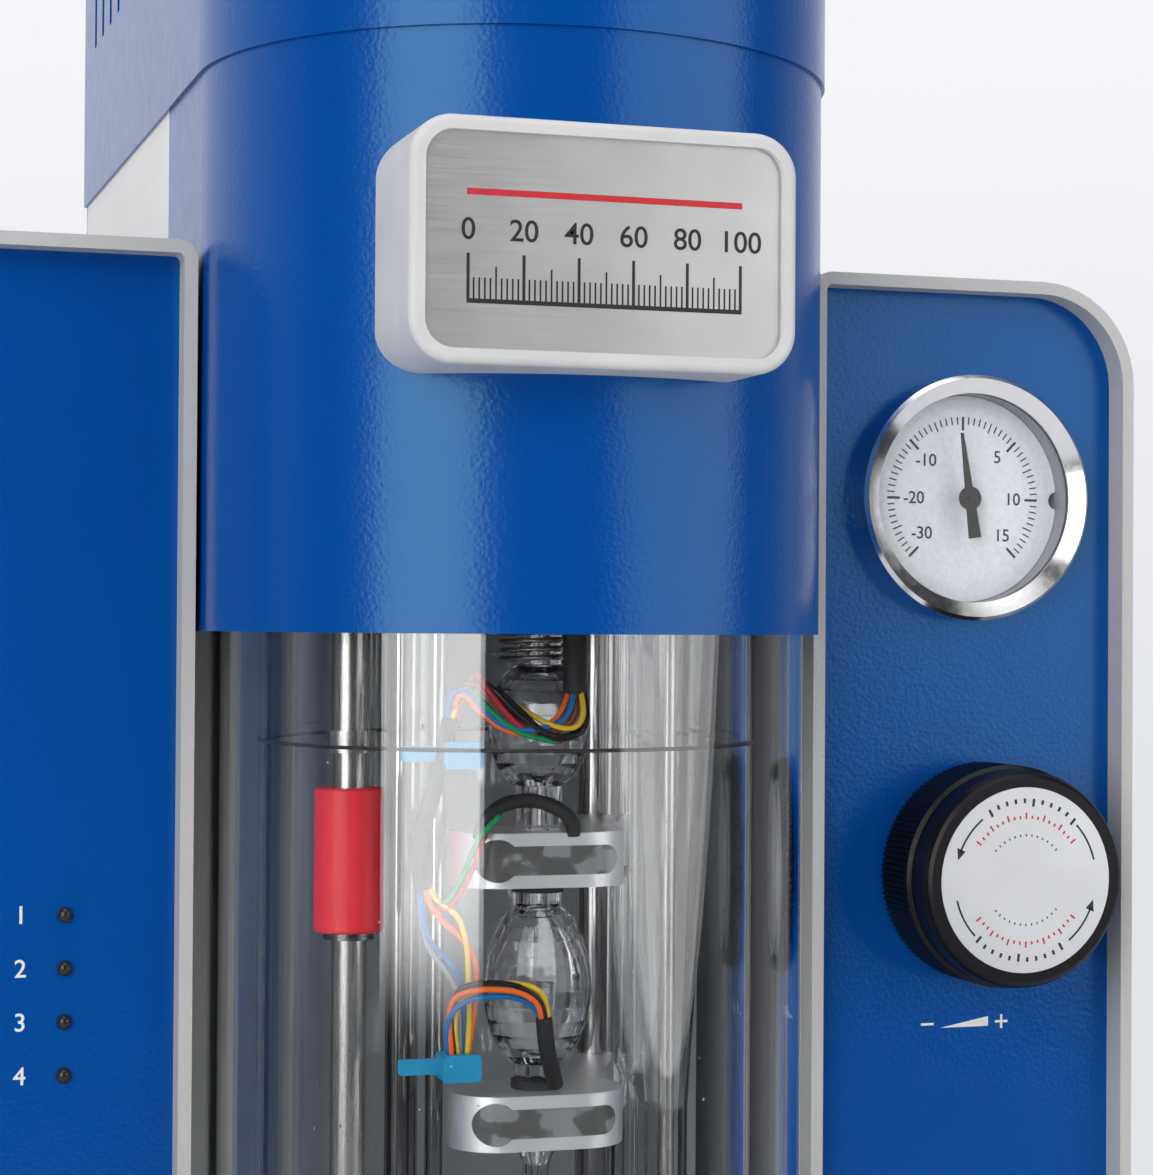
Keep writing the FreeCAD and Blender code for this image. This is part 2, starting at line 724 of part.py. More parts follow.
def bath_base_plate():
    # Shelf between the flanks with the turned seat of the glassware on it
    shelf = column_block(column_radius, column_split, shelf_bottom, shelf_top)
    ears = box(-left_gap_edge, right_gap_edge, 0, column_split, shelf_bottom, shelf_top)
    fold = column_inside - return_flange
    tongue = box(-fold, fold, column_split, carriage_y + carriage_depth, shelf_bottom, shelf_top)
    seat = post(0, 0, shelf_top, seat_top, guard_radius + seat_rim)
    low = seat_top - groove_depth
    cuts = [pipe(0, 0, low, seat_top + 1, guard_radius + slip, guard_wall + 2 * slip),
            pipe(0, 0, low, seat_top + 1, jar_radius + slip, jar_wall + 2 * slip),
            post(tube_x, tube_y, shelf_bottom - 1, seat_top + 1, capillary_radius + slip),
            post(0, carriage_y, shelf_bottom - 1, shelf_top + 1, screw_radius + running)]
    cuts += [post(x, carriage_y, shelf_bottom - 1, seat_top + 1, rail_radius) for x in rail_places()]
    return fuse([shelf, ears, tongue, seat]).cut(group(cuts))


def rail_places():
    return [-rail_spacing / 2, rail_spacing / 2]


def guard_tube():
    return pipe(0, 0, seat_top - groove_depth, jar_top, guard_radius, guard_wall)


def bath_jar():
    return pipe(0, 0, seat_top - groove_depth + seal_height, jar_top, jar_radius, jar_wall)


def bath_top_plate():
    disc = post(0, 0, jar_top, top_plate_top, column_inside - slip)
    half = column_inside - return_flange - slip
    tail = box(-half, half, 0, column_split + liner_gap - air, jar_top, top_plate_top)
    places = [(tube_x, tube_y, tube_radius + slip), (stir_x, stir_y, stir_shaft_radius + running),
              (stem_x, stem_y, stem_thick), (support_x, support_y, support_radius),
              (heater_x, heater_y, heater_radius), (probe_x, probe_y, probe_radius),
              (side_x, side_y, side_radius)]
    holes = [post(x, y, jar_top - 1, top_plate_top + 1, r) for x, y, r in places]
    return fuse([disc, tail]).cut(group(holes))


def hood():
    outer = column_block(column_radius, column_split, hood_bottom, hood_top)
    shell = outer.cut(column_block(column_inside, column_split + 1, hood_bottom - 1, hood_top + 1))
    fold = column_inside - return_flange
    z0 = top_plate_top + air
    folds = [box(-column_inside, -fold, column_split - sheet, column_split, z0, hood_top),
             box(fold, column_inside, column_split - sheet, column_split, z0, hood_top)]
    return fuse([shell] + folds)


def chamber_liner():
    y = column_split + liner_gap
    return box(-column_inside, column_inside, y, y + liner_sheet, shelf_bottom, jar_top)


def top_cover():
    r, rear = column_radius + cap_overhang, body_rear + cap_overhang
    outer = column_block(r, rear, hood_top, cap_top)
    outer = outer.makeFillet(2 * sheet, rim_at(outer, cap_top))
    cover = outer.cut(column_block(r - sheet, rear - sheet, hood_top - 1, cap_top - sheet))
    z0 = hood_top + vent_rise
    slots = []
    for i in range(vents):
        y = body_rear - vent_inset + i * vent_pitch
        slots.append(box(-r - 1, r + 1, y, y + vent_width, z0, z0 + vent_height))
    return cover.cut(group(slots))


def nameplate_frame():
    x0, x1 = plate_x - plate_width / 2, plate_x + plate_width / 2
    z0, z1 = plate_z - plate_height / 2, plate_z + plate_height / 2
    block = slab(x0, x1, z0, z1, (plate_corner,) * 4, plate_front, 0)
    rim = edges_where(block, lambda e: abs(e.BoundBox.YMin - plate_front) < 0.01
                      and abs(e.BoundBox.YMax - plate_front) < 0.01)
    block = block.makeFillet(plate_rim / 2, rim)
    pocket = slab(x0 + plate_rim, x1 - plate_rim, z0 + plate_rim, z1 - plate_rim,
                  (plate_corner - plate_rim,) * 4, plate_front - 1, plate_front + plate_inset + plate_metal)
    s = plate_shell
    hollow = slab(x0 + s, x1 - s, z0 + s, z1 - s, (plate_corner - s,) * 4, plate_front + plate_skin, 1)
    column = post(0, 0, z0 - 1, z1 + 1, column_radius)
    return block.cut(pocket).cut(hollow).cut(column)


def nameplate():
    half_width, half_height = plate_width / 2 - plate_rim, plate_height / 2 - plate_rim
    y0 = plate_front + plate_inset
    return slab(plate_x - half_width, plate_x + half_width, plate_z - half_height, plate_z + half_height,
                (plate_corner - plate_rim,) * 4, y0, y0 + plate_metal)


def gauge_bezel():
    # Chrome ring whose bevel falls in to the window
    r, inner, groove = bezel_radius, bezel_window_radius, bezel_window_radius + case_wall + slip
    seat = bezel_bevel + bezel_lip
    profile = [(inner, bezel_bevel), (r - bezel_edge, 0), (r, bezel_edge), (r, bezel_proud),
               (groove, bezel_proud), (groove, seat), (inner, seat)]
    return turned(profile, V(gauge_x, bezel_front, gauge_z), BACK)


def gauge_window():
    y0 = bezel_front + bezel_bevel + bezel_lip
    return bar(gauge_x, gauge_z, y0, y0 + window_sheet, bezel_window_radius + case_wall)


def gauge_case():
    # Cup behind the bezel with its movement block, clamp ring and hose stem
    r = bezel_window_radius + case_wall
    y0, y1 = bezel_front + bezel_bevel + bezel_lip + window_sheet, panel_back + case_depth
    dial_back = bezel_front + dial_depth + dial_sheet
    cup = bar(gauge_x, gauge_z, y0, y1, r).cut(bar(gauge_x, gauge_z, y0 - 1, y1 - 2, bezel_window_radius))
    movement = bar(gauge_x, gauge_z, dial_back, y1, movement_radius)
    stem = bar(gauge_x, gauge_z, y1, y1 + case_stem_length, case_stem_radius)
    ring = bar(gauge_x, gauge_z, panel_back, panel_back + clamp_ring_width, r + clamp_ring_wall)
    ring = ring.cut(bar(gauge_x, gauge_z, panel_back - 1, panel_back + clamp_ring_width + 1, r))
    bore_end = bezel_front + pointer_depth + pointer_pin_depth + air
    bore = bar(gauge_x, gauge_z, dial_back - 1, bore_end, pointer_pin + running)
    return fuse([cup, movement, stem, ring]).cut(bore)


def gauge_dial():
    y0 = bezel_front + dial_depth
    disc = bar(gauge_x, gauge_z, y0, y0 + dial_sheet, bezel_window_radius - slip)
    notch = bar(gauge_x + bezel_window_radius, gauge_z, y0 - 1, y0 + dial_sheet + 1, 2.2)
    bore = bar(gauge_x, gauge_z, y0 - 1, y0 + dial_sheet + 1, pointer_pin + running)
    return disc.cut(group([notch, bore]))


def gauge_pointer():
    y = bezel_front + pointer_depth

    def blade(points):
        corners = [V(gauge_x + x, y, gauge_z + z) for x, z in points]
        return Part.Face(Part.makePolygon(corners + [corners[0]])).extrude(V(0, pointer_sheet, 0))

    root, tip, tail = 1.1, 0.3, 1.6
    needle = blade([(-root, 0), (root, 0), (tip, pointer_reach), (-tip, pointer_reach)])
    balance = blade([(-root, 0), (-tail, -pointer_tail), (tail, -pointer_tail), (root, 0)])
    hub = bar(gauge_x, gauge_z, y, y + pointer_sheet, pointer_hub)
    pin = bar(gauge_x, gauge_z, y - air, y + pointer_pin_depth, pointer_pin)
    pointer = fuse([needle, balance, hub, pin])
    pointer.rotate(V(gauge_x, y, gauge_z), BACK, -pointer_rest)
    return pointer


def regulator_body():
    y1 = panel_back + regulator_length
    y2 = y1 + regulator_block_length
    half = regulator_block / 2
    body = bar(knob_x, knob_z, panel_back, y1, regulator_radius)
    stem = bar(knob_x, knob_z, knob_back - knob_bore_depth, panel_back, regulator_stem)
    block = box(knob_x - half, knob_x + half, y1, y2, knob_z - half, knob_z + half)
    ports = bar_across(right_gap_edge + flank_wall + port_gap, body_half_width - flank_wall - port_gap,
                       (y1 + y2) / 2, knob_z, regulator_port)
    return fuse([body, stem, block, ports])


def regulator_knob():
    back, grip = knob_length, knob_length - knob_fluted
    r, front, well = knob_radius, knob_front_radius, knob_label_radius + slip
    profile = [(0, knob_label_sheet), (well, knob_label_sheet), (well, 0), (front - 0.8, 0), (front, 0.6),
               (front + 0.7, 2.0), (r - 0.9, grip - 0.8), (r, grip), (r, back), (0, back)]
    knob = turned(profile, V(knob_x, knob_front, knob_z), BACK)
    cuts = [bar(knob_x, knob_z, knob_back - knob_bore_depth - air, knob_back + 1, regulator_stem + running)]
    for i in range(flutes):
        groove = box(r - flute_depth, r + flute_depth, 0, knob_fluted + 1, -flute_depth, flute_depth)
        groove.rotate(V(r, 0, 0), BACK, 45)
        groove.rotate(V(0, 0, 0), BACK, 360.0 / flutes * i)
        groove.translate(V(knob_x, knob_back - knob_fluted, knob_z))
        cuts.append(groove)
    return knob.cut(group(cuts))


def knob_label():
    return bar(knob_x, knob_z, knob_front, knob_front + knob_label_sheet, knob_label_radius)


def bulb(drop, above, below, radius, neck, inset=0.0):
    # Points of one bulb from its top neck to its bottom neck, round above and below its widest ring
    steps = 7
    top = hood_bottom - drop - inset
    middle = hood_bottom - drop - above
    bottom = middle - below + inset
    width = radius - inset - neck
    upper, lower = [], []
    for i in range(1, steps):
        angle = math.pi / 2 * i / steps
        r = neck + width * math.sin(angle) ** 1.3
        upper.append((r, top - (top - middle) * (1 - math.cos(angle))))
        lower.append((r, bottom + (middle - bottom) * (1 - math.cos(angle))))
    return [(neck, top)] + upper + [(radius - inset, middle)] + lower[::-1] + [(neck, bottom)]


def both_bulbs(neck, inset):
    return (bulb(upper_bulb_drop, upper_bulb_above, upper_bulb_below, upper_bulb_radius, neck, inset)
            + bulb(lower_bulb_drop, lower_bulb_above, lower_bulb_below, lower_bulb_radius, neck, inset))


def viscometer_tube():
    top = hood_bottom + tube_above_hood
    clamp_bottom = lower_clamp_top - clamp_height
    taper = clamp_bottom - tube_radius
    outer = [(tube_radius, top)] + both_bulbs(tube_radius, 0.0)
    outer += [(tube_radius, clamp_bottom), (capillary_radius, taper), (capillary_radius, intake_bottom)]
    inner = [(bore_radius, top)] + both_bulbs(bore_radius, glass_wall)
    inner += [(bore_radius, clamp_bottom), (capillary_bore, taper), (capillary_bore, intake_bottom)]
    return turned(outer + inner[::-1], V(tube_x, tube_y, 0))


def clamp_outline(top):
    end = clamp_depth / 2
    middle, reach = tube_x + clamp_middle, clamp_half_length - end
    bottom = top - clamp_height
    return fuse([box(middle - reach, middle + reach, tube_y - end, tube_y + end, bottom, top),
                 post(middle - reach, tube_y, bottom, top, end),
                 post(middle + reach, tube_y, bottom, top, end)])


def keyhole(top, y0):
    # Round eye with a slot that runs from it towards the clamp's right end
    x, z = tube_x + clamp_middle - keyhole_offset, top - clamp_height / 2
    right = tube_x + clamp_middle + clamp_half_length - keyhole_end
    y1 = tube_y - clamp_depth / 2 + keyhole_depth
    half = keyhole_slot / 2
    return fuse([bar(x, z, y0, y1, keyhole_radius),
                 slab(x, right, z - half, z + half, (0, half, half, 0), y0, y1)])


def detector_clamp(top):
    bottom = top - clamp_height
    start = tube_x + clamp_middle + clamp_half_length - clamp_depth / 2
    dx, dy = support_x - start, support_y - tube_y
    bracket = box(0, math.hypot(dx, dy), -bracket_width / 2, bracket_width / 2, bottom, top)
    bracket.rotate(V(0, 0, 0), UP, math.degrees(math.atan2(dy, dx)))
    bracket.translate(V(start, tube_y, 0))
    boss = post(support_x, support_y, bottom, top, support_radius + boss_wall)
    cuts = [post(support_x, support_y, bottom - 1, top + 1, support_radius),
            post(tube_x, tube_y, bottom - 1, top + 1, tube_radius + slip),
            keyhole(top, tube_y - clamp_depth / 2 - 1)]
    return fuse([clamp_outline(top), bracket, boss]).cut(group(cuts))


def detector_clamps():
    return group([detector_clamp(upper_clamp_top), detector_clamp(lower_clamp_top)])


def detector_potting():
    fills = []
    for top in (upper_clamp_top, lower_clamp_top):
        fill = keyhole(top, tube_y - clamp_depth / 2 + potting_recess).common(clamp_outline(top))
        fills.append(fill.cut(post(tube_x, tube_y, top - clamp_height - 1, top + 1, tube_radius + slip)))
    return group(fills)


def seal_rings():
    # Seal under the jar, gland of the intake and bushings at the clamps
    rings = [pipe(0, 0, seat_top - groove_depth, seat_top - groove_depth + seal_height, jar_radius, jar_wall),
             pipe(tube_x, tube_y, seat_top, seat_top + 2 * seal_height, 2 * capillary_radius,
                  capillary_radius - running)]
    for z in (upper_clamp_top - clamp_height - bushing_height, lower_clamp_top):
        rings.append(pipe(tube_x, tube_y, z, z + bushing_height, bushing_radius,
                          bushing_radius - tube_radius - running))
    return group(rings)


def neck_spring():
    # Coil that steadies the tube's neck, below a collar inside the hood; each half turn is a tilted ring
    start = hood_bottom - neck_coil_drop
    rise = neck_coil_pitch / 2
    turns = []
    for i in range(2 * neck_coil_turns):
        side = 1 if i % 2 == 0 else -1
        place = V(tube_x + side * neck_coil_radius, tube_y, start + i * rise)
        centre = V(tube_x, tube_y, start + (i + 0.5) * rise)
        section = Part.Face(Part.Wire(Part.makeCircle(neck_coil_wire, place, BACK)))
        turns.append(section.revolve(centre, V(side * rise, 0, 2 * neck_coil_radius), 180))
    seat = start + len(turns) * rise + neck_coil_wire
    collar = pipe(tube_x, tube_y, seat, seat + neck_collar_height, neck_coil_radius + neck_coil_wire,
                  neck_coil_radius + neck_coil_wire - tube_radius - running)
    return group([fuse(turns), collar])


def bath_springs():
    return group([float_clip(), neck_spring()])


def support_column():
    return post(support_x, support_y, seat_top, top_plate_top, support_radius)


def heater_tube():
    # Immersion heater: a straight leg that bends out into a flat ring above the seat
    z = seat_top + coil_height
    angle = math.atan2(heater_y, heater_x)
    out = V(math.cos(angle), math.sin(angle), 0)
    start = V(heater_x, heater_y, z + heater_bend)
    centre = start + out * heater_bend
    end = centre - UP * heater_bend
    middle = centre - (out + UP) * (heater_bend * math.sqrt(0.5))
    path = Part.Wire([Part.Arc(start, middle, end).toShape(), Part.makeLine(end, out * coil_radius + UP * z)])
    elbow = path.makePipeShell([Part.Wire(Part.makeCircle(heater_radius, start, UP))], True, True)
    leg = post(heater_x, heater_y, z + heater_bend, top_plate_top + 2 * heater_radius, heater_radius)
    ring = Part.makeTorus(coil_radius, heater_radius, V(0, 0, z), UP)
    return fuse([leg, elbow, ring])


def probe_tube():
    tip = hood_bottom - probe_drop
    rod = post(probe_x, probe_y, tip, top_plate_top + 3 * probe_radius, probe_radius)
    return fuse([rod, Part.makeSphere(probe_radius, V(probe_x, probe_y, tip))])


def side_arm_tube():
    # Glass overflow arm with one narrow neck
    neck = hood_bottom - side_neck_drop
    r, low, waist = side_radius, side_radius * 0.8, side_radius * 0.5
    outer = [(r, top_plate_top + side_foot), (r, neck), (waist, neck - r), (waist, neck - 1.5 * r),
             (low, neck - 2.5 * r), (low, seat_top + side_foot)]
    inner = [(max(radius - side_wall, 0.4), z) for radius, z in outer]
    return turned(outer + inner[::-1], V(side_x, side_y, 0))


def draft_tube():
    tip, end = hood_bottom - draft_tip_drop, hood_bottom - draft_end_drop
    outer = [(draft_top_radius, jar_top), (draft_tip_radius, tip), (draft_tip_radius, end)]
    inner = [(radius - draft_wall, z) for radius, z in outer]
    return turned(outer + inner[::-1], V(stir_x, stir_y, 0))


def stirrer():
    hub_top = hood_bottom - draft_end_drop - stir_gap
    hub_bottom = hub_top - stir_hub_height
    shaft = post(stir_x, stir_y, hub_bottom, top_plate_top + stir_motor_legs + 4, stir_shaft_radius)
    hub = post(stir_x, stir_y, hub_bottom, hub_top, stir_hub_radius)
    middle = (hub_top + hub_bottom) / 2
    blades = []
    for i in range(stir_blades):
        blade = box(stir_shaft_radius, stir_blade_span / 2, -0.8, 0.8, middle - 4, middle + 4)
        blade.rotate(V(0, 0, middle), RIGHT, 35)
        blade.rotate(V(0, 0, 0), UP, 360.0 / stir_blades * i)
        blade.translate(V(stir_x, stir_y, 0))
        blades.append(blade)
    return fuse([shaft, hub] + blades)


def step_motor(y, top):
    half = motor_width / 2
    body = box(-half, half, y - half, y + half, top - motor_height, top)
    corners = edges_where(body, is_upright)
    return body.makeChamfer(3.0, corners)


def drive_motors():
    # Carousel motor with its spindle, lift motor, and the stirrer motor on its legs
    top = base_top - base_wall
    spindle = post(0, disc_y, top - 1, disc_bottom - 2, spindle_radius)
    carousel = fuse([step_motor(disc_y, top), spindle])
    screw_hole = post(0, carriage_y, top - screw_radius * 3, top + 1, screw_radius + running)
    lift = step_motor(carriage_y, top).cut(screw_hole)
    low = top_plate_top + stir_motor_legs
    can = post(stir_x, stir_y, low, low + stir_motor_height, stir_motor_radius)
    can = can.cut(post(stir_x, stir_y, low - 1, low + 4 + running, stir_shaft_radius + running))
    spread = stir_motor_radius * 0.7
    legs = [post(stir_x + side * spread, stir_y, top_plate_top, low, 2.5) for side in (-1, 1)]
    return group([carousel, lift, fuse([can] + legs)])


def float_stem():
    rod = post(stem_x, stem_y, seat_top, collar_bottom, stem_radius)
    thick = post(stem_x, stem_y, collar_bottom, top_plate_top, stem_thick)
    collar = post(stem_x, stem_y, collar_bottom, collar_bottom + collar_height, collar_radius)
    return fuse([rod, thick, collar])


def level_float():
    top = float_bottom + float_height
    body = post(stem_x, stem_y, float_bottom, top, float_radius)
    body = body.makeFillet(0.8, rim_at(body, float_bottom) + rim_at(body, top))
    return body.cut(post(stem_x, stem_y, float_bottom - 1, top + 1, stem_radius + float_play))


def float_clip():
    ring = pipe(stem_x, stem_y, float_bottom - clip_height, float_bottom,
                clip_radius, clip_radius - stem_radius)
    mouth = box(stem_x - clip_mouth / 2, stem_x + clip_mouth / 2, stem_y, stem_y + clip_radius + 1,
                float_bottom - clip_height - 1, float_bottom + 1)
    return ring.cut(mouth)


def from_tube(x, y, drop):
    return V(tube_x + x, tube_y + y, hood_bottom - drop)


def rounded_tube(points, radius):
    # Straight runs joined by tangent arcs, each arc as large as its two runs allow
    edges, last = [], points[0]
    for before, corner, after in zip(points, points[1:], points[2:]):
        a, b = (before - corner).normalize(), (after - corner).normalize()
        turn = math.pi - a.getAngle(b)
        trim = 0.45 * min((before - corner).Length, (after - corner).Length)
        bend = trim / math.tan(turn / 2)
        start, end = corner + a * trim, corner + b * trim
        middle = corner + (a + b).normalize() * (bend / math.cos(turn / 2) - bend)
        edges += [Part.makeLine(last, start), Part.Arc(start, middle, end).toShape()]
        last = end
        print("bend radius", round(bend, 1), "in a tube of radius", radius)
    path = Part.Wire(edges + [Part.makeLine(last, points[-1])])
    section = Part.Wire(Part.makeCircle(radius, points[0], points[1] - points[0]))
    tube = path.makePipeShell([section], True, True)
    print("volume over section times length", round(tube.Volume / (math.pi * radius ** 2 * path.Length), 3))
    return tube


def lower_sleeve_route():
    return [from_tube(-3.4, -16.3, 83.0), from_tube(-2.6, -15.9, 90.0), from_tube(0.4, -11.2, 96.5),
            from_tube(1.4, -9.4, 98.6)]


def detector_wires():
    reach = tie_height / 2 + wire_gap
    upper = [from_tube(sleeve_x, sleeve_y, sleeve_drop + wire_gap), from_tube(3.7, -14.6, 21.0),
             from_tube(-4.3, -15.5, 21.4), from_tube(-10.3, -13.5, 15.5), from_tube(-15.3, -10.5, 11.4),
             from_tube(-19.4, -9.4, 16.5), from_tube(tie_x, tie_y, upper_tie_drop - reach)]
    branch = [from_tube(tie_x, tie_y, upper_tie_drop + reach), from_tube(-23.3, -10.0, 38.0),
              from_tube(-25.8, -11.0, 50.0), from_tube(-24.8, -11.5, 63.0), from_tube(-21.3, -11.0, 75.0),
              from_tube(tie_x, tie_y, lower_tie_drop - reach)]
    lower = [from_tube(tie_x + 2.2, tie_y - 2.6, lower_tie_drop - reach), from_tube(-17.0, -14.0, 80.5),
             from_tube(-3.9, -16.5, 77.4), lower_sleeve_route()[0] + UP * wire_gap]
    return group([rounded_tube(upper, bundle_radius), rounded_tube(branch, branch_radius),
                  rounded_tube(lower, branch_radius)])


def cable_sleeves():
    x, y = tube_x + sleeve_x, tube_y + sleeve_y
    upper = post(x, y, hood_bottom - sleeve_drop, jar_top, sleeve_radius)
    return group([upper, rounded_tube(lower_sleeve_route(), lower_sleeve_radius)])


def cable_ties():
    ties = []
    x, y = tube_x + tie_x, tube_y + tie_y
    for drop in (upper_tie_drop, lower_tie_drop):
        z = hood_bottom - drop
        head = slab(x - tie_width / 2, x + tie_width / 2, z - tie_height / 2, z + tie_height / 2,
                    (1, 1, 1, 1), y - tie_depth / 2, y + tie_depth / 2)
        tail = slab(x - tie_width / 2 - tie_tail, x - tie_width / 2, z - 1.3, z + 2.0, (0.6, 0, 0, 0.6),
                    y - 0.8, y + 0.8)
        ties.append(fuse([head, tail]))
    return group(ties)


def carousel_place(index):
    # Centre of a carousel position, counted clockwise from the sampling place at the back
    angle = math.radians(90.0 - index * step_angle)
    return pitch_radius * math.cos(angle), disc_y + pitch_radius * math.sin(angle)


def filled_places():
    # The sampling place stays free, and so does the one that comes to it at the end of the turn
    return [carousel_place(i) for i in range(1, filled + 1)]


def carousel_disc():
    disc = post(0, disc_y, disc_bottom, disc_top, disc_radius)
    disc = disc.makeFillet(1.5, rim_at(disc, disc_top) + rim_at(disc, disc_bottom))
    holes = [post(*carousel_place(i), disc_bottom - 1, disc_top + 1, vial_radius + air)
             for i in range(positions)]
    holes.append(post(0, disc_y, disc_bottom - 1, disc_top + 1, hub_neck))
    return disc.cut(group(holes))


def carousel_hub():
    # Sleeve on the spindle under the disc, and the grip that lifts the carousel off
    low = base_top + lift_gap
    flange = disc_bottom - disc_sheet
    bore = spindle_radius + running
    blind = disc_bottom - 2 + running
    sleeve = turned([(bore, low), (hub_radius, low), (hub_radius, flange), (hub_radius + hub_flange, flange),
                     (hub_radius + hub_flange, disc_bottom), (hub_neck, disc_bottom), (hub_neck, disc_top),
                     (0, disc_top), (0, blind), (bore, blind)], V(0, disc_y, 0))
    r, waist, top = grip_radius, grip_radius * 0.6, disc_top + grip_height
    grip = turned([(0, disc_top), (r, disc_top), (waist, disc_top + 4), (waist, top - 10), (r, top - 6),
                   (r, top - 2), (r - 2, top), (0, top)], V(0, disc_y, 0))
    return group([sleeve, grip])


def sample_vials():
    chamfer = 2.0
    profile = [(0, vial_bottom), (vial_radius - chamfer, vial_bottom), (vial_radius, vial_bottom + chamfer),
               (vial_radius, disc_top), (0, disc_top)]
    return group([turned(profile, V(x, y, 0)) for x, y in filled_places()])


def vial_caps():
    r, top = vial_cap_radius, vial_cap_top
    profile = [(0, disc_top), (r, disc_top), (r, top - 1.5), (r - 1.5, top), (0, top)]
    return group([turned(profile, V(x, y, 0)) for x, y in filled_places()])


def lift_platform():
    pad = post(0, tube_y, arm_top, pad_top, pad_radius)
    half = arm_width / 2
    arm = fuse([box(-half, half, tube_y, carriage_front + 1, arm_bottom, arm_top),
                post(0, tube_y, arm_bottom, arm_top, pad_radius)])
    carriage = box(-carriage_width / 2, carriage_width / 2, carriage_front, carriage_front + carriage_depth,
                   arm_bottom, arm_bottom + carriage_height)
    low, high = arm_bottom - 1, arm_bottom + carriage_height + 1
    bores = [post(x, carriage_y, low, high, rail_radius + running) for x in rail_places()]
    bores.append(post(0, carriage_y, low, high, screw_radius + running))
    return fuse([pad, arm, carriage]).cut(group(bores))


def lift_rails():
    return group([post(x, carriage_y, base_top, shelf_top, rail_radius) for x in rail_places()])


def lift_screw():
    return post(0, carriage_y, base_top - base_wall - 3 * screw_radius, shelf_top, screw_radius)


pieces = {
    "base_chassis": base_chassis,
    "base_floor": base_floor,
    "rubber_feet": rubber_feet,
    "power_inlet": power_inlet,
    "switch_rocker": switch_rocker,
    "left_flank_shell": lambda: flank_shell(-body_half_width, -left_gap_edge, True),
    "right_flank_shell": right_flank_shell,
    "left_front_panel": left_front_panel,
    "right_front_panel": right_front_panel,
    "status_leds": status_leds,
    "tower_shell": tower_shell,
    "rear_panel": rear_panel,
    "rear_fittings": rear_fittings,
    "solenoid_valves": solenoid_valves,
    "fan_frame": fan_frame,
    "fan_rotor": fan_rotor,
    "power_supply": power_supply,
    "circuit_boards": circuit_boards,
    "bay_wall": bay_wall,
    "bath_base_plate": bath_base_plate,
    "guard_tube": guard_tube,
    "bath_jar": bath_jar,
    "bath_top_plate": bath_top_plate,
    "hood": hood,
    "chamber_liner": chamber_liner,
    "top_cover": top_cover,
    "nameplate_frame": nameplate_frame,
    "nameplate": nameplate,
    "gauge_bezel": gauge_bezel,
    "gauge_window": gauge_window,
    "gauge_case": gauge_case,
    "gauge_dial": gauge_dial,
    "gauge_pointer": gauge_pointer,
    "regulator_body": regulator_body,
    "regulator_knob": regulator_knob,
    "knob_label": knob_label,
    "viscometer_tube": viscometer_tube,
    "detector_clamps": detector_clamps,
    "detector_potting": detector_potting,
    "seal_rings": seal_rings,
    "support_column": support_column,
    "heater_tube": heater_tube,
    "probe_tube": probe_tube,
    "side_arm_tube": side_arm_tube,
    "draft_tube": draft_tube,
    "stirrer": stirrer,
    "drive_motors": drive_motors,
    "float_stem": float_stem,
    "level_float": level_float,
    "bath_springs": bath_springs,
    "detector_wires": detector_wires,
    "cable_sleeves": cable_sleeves,
    "cable_ties": cable_ties,
    "carousel_disc": carousel_disc,
    "carousel_hub": carousel_hub,
    "sample_vials": sample_vials,
    "vial_caps": vial_caps,
    "lift_platform": lift_platform,
    "lift_rails": lift_rails,
    "lift_screw": lift_screw,
}

os.makedirs("parts", exist_ok=True)
for name, make in pieces.items():
    shape = make()
    shape.exportStep("parts/" + name + ".step")
    print(name, len(shape.Solids), "solids", "valid" if shape.isValid() else "NOT VALID")
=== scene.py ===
import math
import random

import bmesh
import bpy
from mathutils import Matrix, Vector


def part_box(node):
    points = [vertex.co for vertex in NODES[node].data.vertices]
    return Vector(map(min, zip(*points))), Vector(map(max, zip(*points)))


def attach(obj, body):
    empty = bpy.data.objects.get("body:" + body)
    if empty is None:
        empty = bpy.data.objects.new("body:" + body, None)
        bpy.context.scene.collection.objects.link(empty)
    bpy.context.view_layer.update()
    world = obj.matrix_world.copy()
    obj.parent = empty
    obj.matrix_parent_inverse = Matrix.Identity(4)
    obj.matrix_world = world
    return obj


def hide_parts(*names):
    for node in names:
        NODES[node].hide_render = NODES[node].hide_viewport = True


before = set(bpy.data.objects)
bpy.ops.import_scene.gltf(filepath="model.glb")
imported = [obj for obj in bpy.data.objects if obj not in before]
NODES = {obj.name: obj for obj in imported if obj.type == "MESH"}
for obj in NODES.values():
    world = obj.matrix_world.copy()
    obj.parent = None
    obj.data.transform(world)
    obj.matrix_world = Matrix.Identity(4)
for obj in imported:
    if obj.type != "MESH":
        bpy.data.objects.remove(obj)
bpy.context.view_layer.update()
MM = 0.001

# Places read from the frame


def middle(node):
    low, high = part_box(node)
    return (Vector(low) + Vector(high)) / 2


def low(node):
    return Vector(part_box(node)[0])


def high(node):
    return Vector(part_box(node)[1])


HOOD_BOTTOM = low("hood").z
TUBE_X, TUBE_Y = middle("viscometer_tube").x, middle("viscometer_tube").y


def from_tube(x, y, drop):
    """A point in metres, from millimetres off the tube's axis and down from the hood."""
    return Vector((TUBE_X + x * MM, TUBE_Y + y * MM, HOOD_BOTTOM - drop * MM))


# Material helpers


